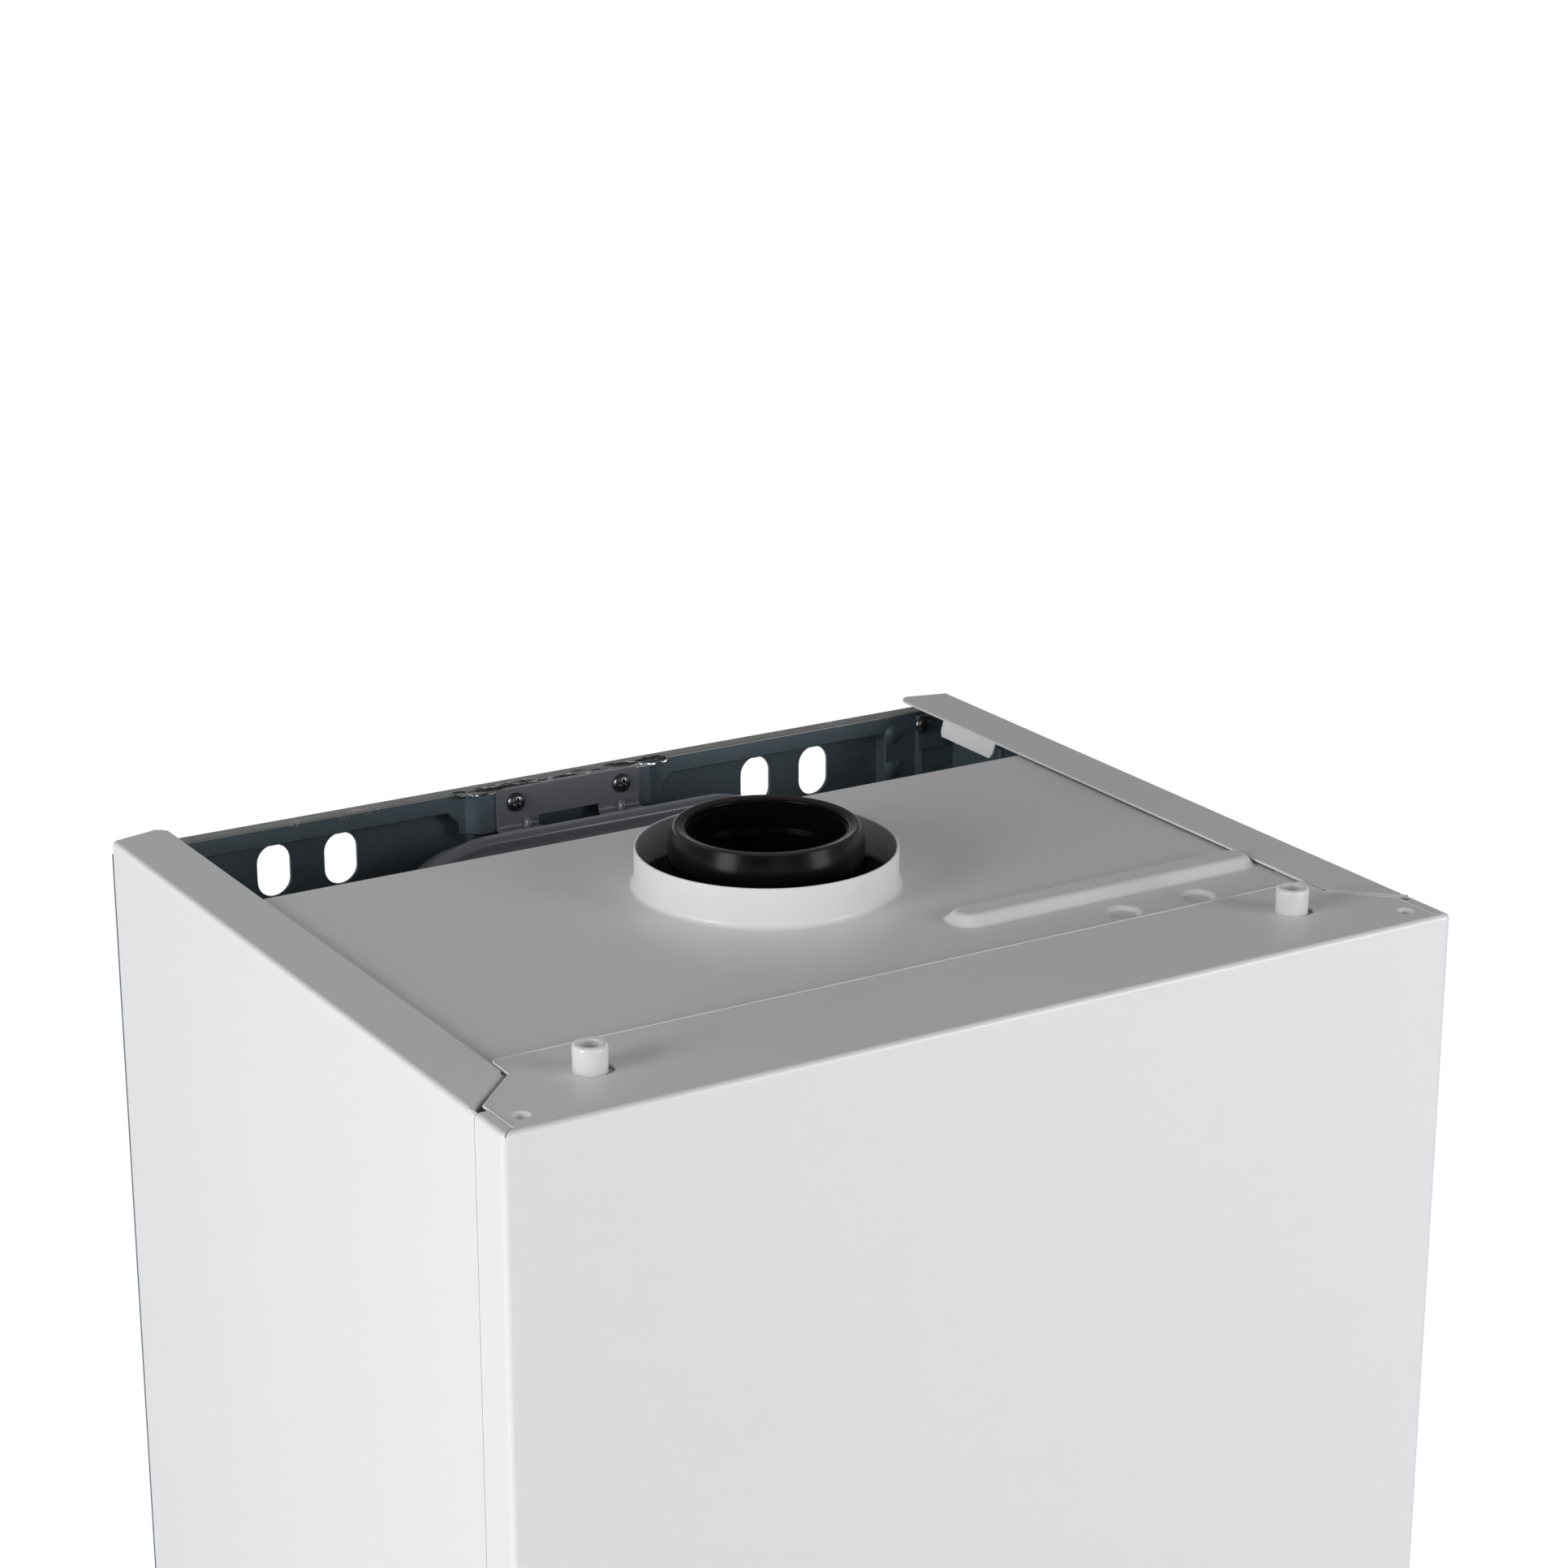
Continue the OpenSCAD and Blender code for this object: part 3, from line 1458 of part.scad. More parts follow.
front_panel();
left_side_panel();
right_side_panel();
chamber_roof();
chamber_shell();
chamber_front_cover();
chamber_gasket();
flue_seal();
locating_pins();
top_rear_beam();
lower_rear_beam();
left_post();
right_post();
bottom_tray();
pan_head_screws();
vessel_front_shell();
vessel_rear_shell();
vessel_diaphragm();
vessel_bracket();
fan_housing();
fan_motor();
fan_impeller();
smoke_hood();
exchanger_fins();
exchanger_tubes();
combustion_case();
ceramic_panels();
burner_blades();
gas_manifold();
electrodes();
air_pressure_switch();
pressure_tubes();
gas_valve();
gas_pipes();
pump_body();
pump_motor();
pump_impeller();
air_vent();
return_block();
flow_block();
plate_exchanger();
diverter_motor();
diverter_stem();
safety_valve();
safety_valve_knob();
pressure_gauge();
gauge_needle();
flow_turbine();
filling_tap();
copper_pipes();
pipe_stubs();
control_box();
control_cover();
control_board();
display();
knob_heating();
knob_water();
button_mode();
button_reset();
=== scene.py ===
"""The looks of a wall-hung gas boiler: its painted casing, roof, flue seal, rear frame and controls."""
import json
from math import cos, pi, radians, sin

import bpy
from mathutils import Matrix, Vector

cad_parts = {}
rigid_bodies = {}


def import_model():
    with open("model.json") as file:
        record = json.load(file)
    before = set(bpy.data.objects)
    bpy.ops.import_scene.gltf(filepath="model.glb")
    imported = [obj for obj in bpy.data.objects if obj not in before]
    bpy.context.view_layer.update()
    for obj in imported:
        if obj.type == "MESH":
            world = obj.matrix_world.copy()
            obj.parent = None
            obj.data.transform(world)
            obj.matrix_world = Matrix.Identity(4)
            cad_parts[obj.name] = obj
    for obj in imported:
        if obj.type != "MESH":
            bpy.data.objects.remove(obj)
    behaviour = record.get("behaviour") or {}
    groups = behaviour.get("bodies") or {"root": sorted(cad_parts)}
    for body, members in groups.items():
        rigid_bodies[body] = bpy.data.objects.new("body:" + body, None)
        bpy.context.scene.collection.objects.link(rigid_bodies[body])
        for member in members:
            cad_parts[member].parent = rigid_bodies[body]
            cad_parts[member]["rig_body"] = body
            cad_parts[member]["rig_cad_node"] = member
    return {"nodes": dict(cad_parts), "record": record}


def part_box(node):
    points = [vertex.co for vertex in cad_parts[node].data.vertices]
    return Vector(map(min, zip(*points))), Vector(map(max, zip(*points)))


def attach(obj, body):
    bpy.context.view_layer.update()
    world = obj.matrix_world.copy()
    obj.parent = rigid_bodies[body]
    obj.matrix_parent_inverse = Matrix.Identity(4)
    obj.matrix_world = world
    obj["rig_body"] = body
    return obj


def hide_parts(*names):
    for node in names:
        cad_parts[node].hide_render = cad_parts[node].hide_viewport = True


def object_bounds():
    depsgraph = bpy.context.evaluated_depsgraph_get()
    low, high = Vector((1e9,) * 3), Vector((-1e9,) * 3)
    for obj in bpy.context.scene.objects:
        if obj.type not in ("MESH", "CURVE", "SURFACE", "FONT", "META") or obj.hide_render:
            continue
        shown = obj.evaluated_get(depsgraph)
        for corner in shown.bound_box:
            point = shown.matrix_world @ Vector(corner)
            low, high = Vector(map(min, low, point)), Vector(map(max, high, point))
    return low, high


bl_info = {
    "name": "Gas boiler",
    "version": (1, 0, 0),
    "blender": (4, 5, 0),
    "location": "View3D > Sidebar > Boiler",
    "description": "Builds the visible pieces and the finishes of a wall-hung gas boiler",
    "category": "Object",
}

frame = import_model()
CAD_BOX = [list(corner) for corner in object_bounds()]

MM = 0.001
SIDES = (-1, 1)
PANEL_LOW, PANEL_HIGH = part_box("front_panel")
ROOF_LOW, ROOF_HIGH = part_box("chamber_roof")
SEAL_LOW, SEAL_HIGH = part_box("flue_seal")
PIN_LOW, PIN_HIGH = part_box("locating_pins")
BEAM_LOW, BEAM_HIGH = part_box("top_rear_beam")
SIDE_LOW, SIDE_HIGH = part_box("right_side_panel")
BRACKET_LOW, BRACKET_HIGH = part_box("vessel_bracket")
VESSEL_FRONT_LOW, VESSEL_FRONT_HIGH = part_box("vessel_front_shell")
VESSEL_REAR_LOW, VESSEL_REAR_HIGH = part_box("vessel_rear_shell")
TRAY_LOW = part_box("bottom_tray")[0]
POST_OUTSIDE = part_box("right_post")[1].x
SEAL_MIDDLE_Y = (SEAL_LOW.y + SEAL_HIGH.y) / 2
PIN_MIDDLE_Y = (PIN_LOW.y + PIN_HIGH.y) / 2
PIN_FLANGE = 9 * MM
BEAM_FRONT = -8 * MM


def length(name, description, size):
    """A size in mm that shows in the sidebar."""
    return bpy.props.FloatProperty(
        name=name, description=description, default=size * MM, unit="LENGTH", precision=5)


def turn(name, description, degrees):
    """An angle that shows in the sidebar."""
    return bpy.props.FloatProperty(
        name=name, description=description, default=radians(degrees), unit="ROTATION")


def tint(name, description, default):
    """A colour that shows in the sidebar."""
    return bpy.props.FloatVectorProperty(
        name=name, description=description, default=default, subtype="COLOR", min=0, max=1)


class BOILER_PG_casing(bpy.types.PropertyGroup):
    """Sizes of the painted panels"""
    sheet: length("Sheet", "Thickness of the casing sheet", 1)
    bend: length("Bend", "Outer radius of a bend", 2)
    return_depth: length("Return", "Depth of the front panel's side returns", 20)
    lip: length("Lip", "Width of the lip on each side return", 5)
    gap: length("Gap", "Gap between the lip and the top flange", 0.8)
    flange: length("Side flange", "Width of a side panel's top flange", 24)
    foot: length("Foot flange", "Width of a side panel's bottom flange", 15)
    clinch: length("Clinch", "Radius of the dimple near each front corner", 2.7)
    burr: length("Edge", "Rounding of a cut sheet edge", 0.2)
    bead: length("Bead", "Radius of the thick paint along the front panel's top flange", 0.62)


class BOILER_PG_roof(bpy.types.PropertyGroup):
    """Sizes of the roof plate, its collar, the flue seal and the pins"""
    collar: length("Collar", "Inner radius of the air collar", 50.25)
    fillet: length("Fillet", "Radius at the foot of the collar", 2.2)
    rib_length: length("Rib length", "Length of the pressed rib", 144)
    rib_width: length("Rib width", "Width of the pressed rib", 20)
    rib_height: length("Rib height", "Height of the pressed rib", 4)
    dimple: length("Dimple", "Radius of a pressed dimple", 6.4)
    seal_bore: length("Seal bore", "Bore radius of the flue seal", 31.3)
    seal_outer: length("Seal radius", "Outer radius of the flue seal", 38.2)
    pin: length("Pin", "Radius of a locating pin", 6.2)
    pin_bore: length("Pin bore", "Bore radius of a locating pin", 3.7)


class BOILER_PG_rear(bpy.types.PropertyGroup):
    """Sizes of the rear beam, its bracket, the vessel and the screws"""
    press: length("Press radius", "Radius of the beam's pressed edges", 0.8)
    steel: length("Steel", "Thickness of the frame steel", 1.5)
    slot_width: length("Slot width", "Width of a hanging slot", 15)
    slot_height: length("Slot height", "Height of a hanging slot", 22.5)
    vessel_corner: length("Vessel corner", "Corner radius of the expansion vessel", 50)
    screw: length("Screw", "Radius of a screw head", 4.2)


class BOILER_PG_controls(bpy.types.PropertyGroup):
    """Sizes of the controls"""
    knob: length("Knob", "Radius of a temperature knob", 20)
    flute: length("Flute", "Radius of a groove in a knob's grip", 1.1)
    key_edge: length("Key edge", "Rounding of a push-button", 1.2)
    tick: length("Tick", "Width of a mark on a dial", 0.8)


class BOILER_PG_colours(bpy.types.PropertyGroup):
    """Main colours of the finishes"""
    paint: tint("Paint", "Powder coat of the casing", (0.80, 0.805, 0.822))
    zinc: tint("Zinc", "Dark galvanised steel of the rear frame", (0.145, 0.185, 0.212))
    grey: tint("Grey paint", "Paint of the vessel and its bracket", (0.137, 0.146, 0.168))
    rubber: tint("Rubber", "Rubber of the flue seal", (0.003, 0.003, 0.0032))
    nylon: tint("Nylon", "Nylon of the locating pins", (0.76, 0.755, 0.76))
    floor: tint("Floor", "Colour of the floor", (0.9, 0.9, 0.9))


class BOILER_PG_stage(bpy.types.PropertyGroup):
    """The camera's place, its angles and its lens"""
    camera: bpy.props.FloatVectorProperty(
        name="Camera", description="Place of the camera", default=(-0.6806, -1.3103, 0.4943),
        subtype="TRANSLATION", unit="LENGTH")
    heading: turn("Heading", "Turn of the view from the wall's normal towards the right", 31.29)
    pitch: turn("Pitch", "How far the view looks down", 18.02)
    roll: turn("Roll", "Roll of the camera", 0.02)
    lens: bpy.props.FloatProperty(
        name="Lens", description="Focal length on a 36 mm sensor", default=83.23, unit="CAMERA")


# Modelling helpers

def edit():
    """Enters edit mode."""
    bpy.ops.object.mode_set(mode="EDIT")


def leave():
    """Leaves edit mode."""
    bpy.ops.object.mode_set(mode="OBJECT")


def whole():
    """Selects everything of the piece in edit mode."""
    bpy.ops.mesh.select_all(action="SELECT")


def drawn(inward, push):
    """Insets the picked face and pushes it on."""
    bpy.ops.mesh.inset(thickness=inward, depth=0)
    bpy.ops.transform.translate(value=push)


def settle():
    """Leaves edit mode and deselects everything."""
    if bpy.context.object is not None and bpy.context.object.mode != "OBJECT":
        leave()
    bpy.ops.object.select_all(action="DESELECT")


def take(piece):
    """Makes one piece the selected and active one."""
    settle()
    piece.select_set(True)
    bpy.context.view_layer.objects.active = piece


def named(name):
    """Names the new primitive and moves its place, turn and scale into its mesh."""
    piece = bpy.context.object
    piece.name = name
    piece.data.name = name
    bpy.ops.object.transform_apply()
    return piece


def block(name, low, high):
    """A block between two corners."""
    settle()
    low, high = Vector(low), Vector(high)
    bpy.ops.mesh.primitive_cube_add(size=1, location=(low + high) / 2)
    bpy.context.object.scale = high - low
    return named(name)


def rod(name, start, end, radius, sides=64):
    """A cylinder between two points."""
    settle()
    start, end = Vector(start), Vector(end)
    way = (end - start).to_track_quat("Z", "Y").to_euler()
    bpy.ops.mesh.primitive_cylinder_add(
        vertices=sides, radius=radius, depth=(end - start).length, location=(start + end) / 2, rotation=way)
    return named(name)


def traced(name, points, closed=True):
    """One vertex extruded along a line of points."""
    settle()
    bpy.ops.mesh.primitive_plane_add(size=MM, location=points[0])
    piece = named(name)
    edit()
    bpy.ops.mesh.select_mode(type="VERT")
    whole()
    bpy.ops.mesh.merge(type="CENTER")
    path = list(points) + ([points[0]] if closed else [])
    for here, there in zip(path, path[1:]):
        step = Vector(there) - Vector(here)
        bpy.ops.mesh.extrude_vertices_move(TRANSFORM_OT_translate={"value": step})
    whole()
    bpy.ops.mesh.remove_doubles(threshold=0.001 * MM)
    return piece


def filled(name, points, depth):
    """A flat outline extruded to a solid."""
    piece = traced(name, points)
    bpy.ops.mesh.edge_face_add()
    bpy.ops.mesh.extrude_region_move(TRANSFORM_OT_translate={"value": Vector(depth)})
    outward()
    return piece


def skin(name, points, depth):
    """An open line of points extruded to a bent sheet without thickness."""
    piece = traced(name, points, closed=False)
    bpy.ops.mesh.select_mode(type="EDGE")
    whole()
    bpy.ops.mesh.extrude_edges_move(TRANSFORM_OT_translate={"value": Vector(depth)})
    bpy.ops.mesh.select_mode(type="VERT")
    outward()
    return piece


def outward():
    """Turns all faces of the piece in edit mode outwards and leaves edit mode."""
    whole()
    bpy.ops.mesh.normals_make_consistent(inside=False)
    leave()


def spun(name, profile, centre, along="Z", steps=128, closed=True):
    """A profile of (radius, height) turned all the way round an axis through centre."""
    a, b = centre
    if along == "Z":
        points = [(a + r, b, h) for r, h in profile]
        middle, axis = (a, b, 0), (0, 0, 1)
    else:
        points = [(a + r, h, b) for r, h in profile]
        middle, axis = (a, 0, b), (0, 1, 0)
    piece = traced(name, points, closed)
    whole()
    bpy.ops.mesh.spin(steps=steps, angle=2 * pi, center=middle, axis=axis)
    whole()
    bpy.ops.mesh.remove_doubles(threshold=0.002 * MM)
    outward()
    return piece


def arc(centre, radius, start, end, steps=6):
    """Points on an arc, from the start angle to the end angle in degrees."""
    a, b = centre
    turns = [radians(start + (end - start) * i / steps) for i in range(steps + 1)]
    return [(a + radius * cos(t), b + radius * sin(t)) for t in turns]


def oblong(centre, width, height, steps=16):
    """Points of a slot with round ends, its long way along the first axis if it is wider than high."""
    a, b = centre
    if width >= height:
        reach, r = (width - height) / 2, height / 2
        return arc((a + reach, b), r, -90, 90, steps) + arc((a - reach, b), r, 90, 270, steps)
    reach, r = (height - width) / 2, width / 2
    return arc((a, b + reach), r, 0, 180, steps) + arc((a, b - reach), r, 180, 360, steps)


def beside(start, *steps):
    """Points of a profile or plan, given in mm from a starting point."""
    a, b = start
    return [(a + p * MM, b + q * MM) for p, q in steps]


def flat(points, level):
    """Points of the ground plan at one height."""
    return [(x, y, level) for x, y in points]


def upright(points, depth):
    """Points of a front view at one depth."""
    return [(x, depth, z) for x, z in points]


def modify(piece, kind, **settings):
    """Adds a modifier, sets it and applies it."""
    take(piece)
    bpy.ops.object.modifier_add(type=kind)
    modifier = piece.modifiers[-1]
    for key, value in settings.items():
        setattr(modifier, key, value)
    bpy.ops.object.modifier_apply(modifier=modifier.name)
    return piece


def cut(piece, *cutters):
    """Cuts solids out of a piece and clears them away."""
    for cutter in cutters:
        modify(piece, "BOOLEAN", object=cutter, operation="DIFFERENCE", solver="EXACT")
        bpy.data.objects.remove(cutter)


def joined(name, pieces):
    """Several meshes as one object."""
    take(pieces[0])
    for piece in pieces:
        piece.select_set(True)
    bpy.ops.object.join()
    pieces[0].name = name
    return pieces[0]


def moved_copy(piece, offset):
    """A copy with its own mesh, moved by an offset."""
    take(piece)
    bpy.ops.object.duplicate()
    copy = bpy.context.object
    copy.location = Vector(offset)
    bpy.ops.object.transform_apply()
    return copy


def mirrored(piece, name):
    """A copy on the other side of the boiler, with its faces turned the right way."""
    copy = moved_copy(piece, (0, 0, 0))
    copy.scale.x = -1
    bpy.ops.object.transform_apply()
    edit()
    outward()
    copy.name = name
    return copy


def pick(piece, kind, test):
    """Selects the edges or faces that pass a test and stays in edit mode."""
    take(piece)
    edit()
    bpy.ops.mesh.select_mode(type=kind)
    bpy.ops.mesh.select_all(action="DESELECT")
    leave()
    mesh = piece.data
    if kind == "EDGE":
        for edge in mesh.edges:
            edge.select = test(*[mesh.vertices[i].co for i in edge.vertices])
    else:
        for face in mesh.polygons:
            face.select = test(face.normal)
    edit()


def ease_edges(piece, width, segments=2, angle=35):
    """Rounds every edge that is sharper than an angle."""
    return modify(piece, "BEVEL", width=width, segments=segments, limit_method="ANGLE",
                  angle_limit=radians(angle), use_clamp_overlap=True)


def complete(piece, body, slot, *nodes, finish=None, angle=30):
    """Shades a piece, gives it its finish and seats it on its body in place of the CAD nodes."""
    take(piece)
    bpy.ops.object.shade_smooth_by_angle(angle=radians(angle))
    modify(piece, "WEIGHTED_NORMAL", keep_sharp=True)
    dress(piece, finish or slot)
    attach(piece, body)
    if nodes:
        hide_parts(*nodes)


# Shader helpers

WHITE = (1, 1, 1, 1)
# A Mix node's colour sockets, which share their names with its other sockets
MIX_FIRST, MIX_SECOND, MIX_RESULT = 6, 7, 2


def plug(tree, socket, value):
    """Links an input to an output, or sets it to a plain value."""
    if isinstance(value, bpy.types.NodeSocket):
        tree.links.new(value, socket)
    else:
        socket.default_value = value


def feed(tree, node, **values):
    """Plugs values into the inputs of a node by their names."""
    for key, value in values.items():
        plug(tree, node.inputs[key.replace("_", " ")], value)


def add(tree, kind, *inputs, **settings):
    """A node with its settings, its inputs plugged by their names or in their order."""
    node = tree.nodes.new(f"ShaderNode{kind}")
    for key, value in settings.items():
        if key.replace("_", " ") in node.inputs:
            feed(tree, node, **{key: value})
        else:
            setattr(node, key, value)
    for socket, value in zip(node.inputs, inputs):
        plug(tree, socket, value)
    return node


def combined(tree, operation, first, second):
    """What an operation makes of two values."""
    return add(tree, "Math", first, second, operation=operation).outputs["Value"]


def ranged(tree, value, low, high, to_low=0, to_high=1, **settings):
    """A value spread from one range over another."""
    return add(tree, "MapRange", value, low, high, to_low, to_high, **settings).outputs["Result"]


def blended(tree, factor, first, second):
    """A mix of two colours."""
    mix = add(tree, "Mix", factor, data_type="RGBA")
    plug(tree, mix.inputs[MIX_FIRST], first)
    plug(tree, mix.inputs[MIX_SECOND], second)
    return mix.outputs[MIX_RESULT]


def place(tree):
    """The place of a point on its piece."""
    return add(tree, "TexCoord").outputs["Object"]


def height(tree):
    """The height of a point on its piece."""
    return add(tree, "SeparateXYZ", place(tree)).outputs["Z"]


def noise(tree, scale, **settings):
    """Cloudy noise over a piece."""
    return add(tree, "TexNoise", Vector=place(tree), Scale=scale, **settings).outputs["Fac"]


def bump(tree, level, depth):
    """The normals over a relief of a depth in mm."""
    return add(tree, "Bump", Strength=1, Distance=depth * MM, Height=level).outputs["Normal"]


# Shader node groups

COLOURS = {"First": (0.8, 0.8, 0.8, 1), "Second": (0.6, 0.6, 0.6, 1)}
GLOSS = {"Gloss low": 0.3, "Gloss high": 0.5}
SPECK_TOP = 0.46


def group_frame(name, inputs, *outputs):
    """An empty shader group with its sockets, and the two ends inside it."""
    tree = bpy.data.node_groups.new(name, "ShaderNodeTree")
    for label, value in inputs.items():
        kind = "NodeSocketColor" if isinstance(value, tuple) else "NodeSocketFloat"
        tree.interface.new_socket(label, in_out="INPUT", socket_type=kind).default_value = value
    for label in outputs:
        kind = "NodeSocketColor" if label == "Colour" else "NodeSocketFloat"
        tree.interface.new_socket(label, in_out="OUTPUT", socket_type=kind)
    return tree, tree.nodes.new("NodeGroupInput").outputs, tree.nodes.new("NodeGroupOutput")


def group_mottle():
    """Slow drift of colour and gloss over a surface."""
    tree, given, end = group_frame("Mottle", {**COLOURS, "Scale": 20, **GLOSS}, "Colour", "Roughness")
    drift = noise(tree, given["Scale"], Detail=4, Roughness=0.6)
    feed(tree, end, Colour=blended(tree, drift, given["First"], given["Second"]),
         Roughness=ranged(tree, drift, 0, 1, given["Gloss low"], given["Gloss high"]))


def group_peel():
    """The fine pebbled surface of powder coat, rubber or moulded plastic."""
    tree, given, end = group_frame("Peel", {"Scale": 900, "Wave scale": 120, "Wave share": 0.3}, "Height")
    fine = noise(tree, given["Scale"], Detail=2)
    wave = noise(tree, given["Wave scale"], Detail=1)
    mix = add(tree, "Mix", given["Wave share"], data_type="FLOAT", A=fine, B=wave)
    feed(tree, end, Height=mix.outputs["Result"])


def group_grain():
    """Drawn or brushed lines, long along one way."""
    tree, given, end = group_frame(
        "Grain", {**COLOURS, "Along X": 10, "Along Y": 900, "Along Z": 900}, "Colour", "Height")
    ways = add(tree, "CombineXYZ", given["Along X"], given["Along Y"], given["Along Z"])
    stretch = add(tree, "VectorMath", place(tree), ways.outputs["Vector"], operation="MULTIPLY")
    lines = add(tree, "TexNoise", Vector=stretch.outputs["Vector"], Scale=1, Detail=3).outputs["Fac"]
    feed(tree, end, Colour=blended(tree, lines, given["First"], given["Second"]), Height=lines)


def group_spangle():
    """The patchy crystals of galvanised steel."""
    tree, given, end = group_frame(
        "Spangle", {**COLOURS, "Scale": 150, **GLOSS}, "Colour", "Roughness", "Height")
    cells = add(tree, "TexVoronoi", feature="SMOOTH_F1", Smoothness=0.4, Vector=place(tree),
                Scale=given["Scale"])
    red = add(tree, "SeparateColor", cells.outputs["Color"]).outputs["Red"]
    patch = combined(tree, "MULTIPLY", red, noise(tree, 35, Detail=5))
    feed(tree, end, Colour=blended(tree, patch, given["First"], given["Second"]), Height=patch,
         Roughness=ranged(tree, patch, 0, 1, given["Gloss low"], given["Gloss high"]))


def group_specks():
    """Sparse bright specks, kept to a band of heights: worn-through wear and painted glints."""
    tree, given, end = group_frame(
        "Specks", {"Scale": 700, "Share": 0.3, "Band low": -1, "Band high": 1}, "Mask")
    fine = noise(tree, given["Scale"], Detail=3, Roughness=0.7)
    both = combined(tree, "MULTIPLY", fine, noise(tree, 60, Detail=2))
    marks = ranged(tree, both, combined(tree, "SUBTRACT", SPECK_TOP, given["Share"]), SPECK_TOP)
    band = ranged(tree, height(tree), given["Band low"], given["Band high"])
    feed(tree, end, Mask=combined(tree, "MULTIPLY", marks, band))


def group_thread():
    """Rings of a pipe thread below a height."""
    tree, given, end = group_frame("Thread", {"Pitch scale": 550, "Top": -0.73}, "Height")
    level = height(tree)
    rings = combined(tree, "PINGPONG", combined(tree, "MULTIPLY", level, given["Pitch scale"]), 0.5)
    below = combined(tree, "LESS_THAN", level, given["Top"])
    feed(tree, end, Height=combined(tree, "MULTIPLY", rings, below))


def placed(tree, name, **values):
    """What one of the shader groups gives in a material, for its own values."""
    node = add(tree, "Group", node_tree=bpy.data.node_groups[name])
    feed(tree, node, **values)
    return node.outputs


# Finishes

# A colour or its name in the sidebar, gloss from and to, scale, depth of the relief in mm, drift of the
# colour, and more settings of the shader
COATS = {
    "white_paint": ("paint", 0.41, 0.46, 1100, 0.006, 0.985, {"Coat_Weight": 0.2, "Coat_Roughness": 0.16}),
    "grey_paint": ("grey", 0.3, 0.4, 420, 0.03, 0.9, {"Coat_Weight": 0.5, "Coat_Roughness": 0.12}),
    "black_rubber": ("rubber", 0.23, 0.29, 500, 0.02, 1.4, {"Specular_IOR_Level": 0.1}),
    "nylon": ("nylon", 0.28, 0.36, 300, 0.02, 0.97, {
        "Subsurface_Weight": 1, "Subsurface_Scale": 4 * MM, "Subsurface_Radius": (1, 1, 1),
        "Coat_Weight": 0.5, "Coat_Roughness": 0.08}),
    "foam": ((0.05, 0.05, 0.055), 0.8, 0.95, 700, 0.15, 0.7, {}),
    "cast_alloy": ((0.5, 0.51, 0.52), 0.42, 0.6, 600, 0.12, 0.85, {"Metallic": 0.9}),
    "ceramic_fibre": ((0.76, 0.73, 0.66), 0.9, 1, 250, 0.5, 0.9, {}),
    "dark_plastic": ((0.02, 0.022, 0.026), 0.45, 0.62, 500, 0.06, 1.5, {}),
    "white_plastic": ((0.78, 0.785, 0.78), 0.4, 0.5, 1500, 0.02, 0.97, {}),
    "grey_plastic": ((0.3, 0.32, 0.35), 0.35, 0.45, 1300, 0.03, 0.97, {}),
    "silicone": ((0.62, 0.25, 0.16), 0.4, 0.5, 300, 0.04, 0.9, {}),
    "display_lens": ((0.01, 0.018, 0.022), 0.06, 0.1, 80, 0.004, 1.6, {
        "Coat_Weight": 0.6, "Coat_Roughness": 0.04}),
    "red_plastic": ((0.5, 0.02, 0.015), 0.28, 0.36, 900, 0.02, 0.97, {}),
    "blue_plastic": ((0.015, 0.06, 0.3), 0.28, 0.36, 900, 0.02, 0.97, {}),
}
METALS = {
    "zinc_steel": ((0.52, 0.54, 0.56), 0.32, 0.5, 150, 0.02, 0.8, {"Metallic": 0.9}),
    "dark_zinc": ("zinc", 0.34, 0.5, 320, 0.02, 0.75, {"Metallic": 0.55}),
    "crumpled_zinc": ((0.17, 0.18, 0.19), 0.15, 0.3, 420, 0.5, 0.35, {"Metallic": 0.9}),
    "black_steel": ((0.17, 0.17, 0.175), 0.26, 0.4, 900, 0.02, 0.55, {"Metallic": 1}),
    "copper": ((0.66, 0.33, 0.19), 0.22, 0.42, 60, 0.02, 0.7, {"Metallic": 1}),
}
BRASS = (0.66, 0.5, 0.22)
DARK_BRASS = (0.55, 0.41, 0.17)
# Paler grey for the beam's top: painted light on the lit top, with dust
BEAM_TOP_LIGHT_AND_DUST = (0.3, 0.305, 0.31, 1)
# Paler grey for the seal's top rim: a painted sheen
SEAL_TOP_SHEEN = (0.035, 0.035, 0.036, 1)
# Bright specks on the beam's top edge: worn steel and painted glints
BARE_STEEL_AND_GLINT = (0.8, 0.79, 0.76, 1)


def started(name, **settings):
    """A material with a Principled shader whose plain numbers are set."""
    loaded = bpy.data.materials.get(name)
    if loaded is not None:
        loaded.name = f"{name}_of_the_solid"
    material = bpy.data.materials.new(name)
    material.use_nodes = True
    tree = material.node_tree
    shader = tree.nodes["Principled BSDF"]
    feed(tree, shader, **settings)
    return tree, shader


def shade(colour, factor=1):
    """A colour made darker or lighter, with its alpha."""
    return (*[min(1.0, c * factor) for c in colour[:3]], 1)


def coat(name, colour, low, high, scale, depth, drift, more):
    """Paint, rubber or moulded plastic: slow drift of colour and a pebbled surface."""
    tree, shader = started(name, **more)
    mottle = placed(tree, "Mottle", First=shade(colour), Second=shade(colour, drift), Scale=9,
                    Gloss_low=low, Gloss_high=high)
    peel = placed(tree, "Peel", Scale=scale, Wave_scale=scale / 6, Wave_share=0.35)
    feed(tree, shader, Base_Color=mottle["Colour"], Roughness=mottle["Roughness"],
         Normal=bump(tree, peel["Height"], depth))


def metal(name, colour, low, high, scale, depth, drift, more):
    """Bare or plated sheet: spangled colour and gloss."""
    tree, shader = started(name, **more)
    crystals = placed(tree, "Spangle", First=shade(colour), Second=shade(colour, drift), Scale=scale,
                      Gloss_low=low, Gloss_high=high)
    feed(tree, shader, Base_Color=crystals["Colour"], Roughness=crystals["Roughness"],
         Normal=bump(tree, crystals["Height"], depth))


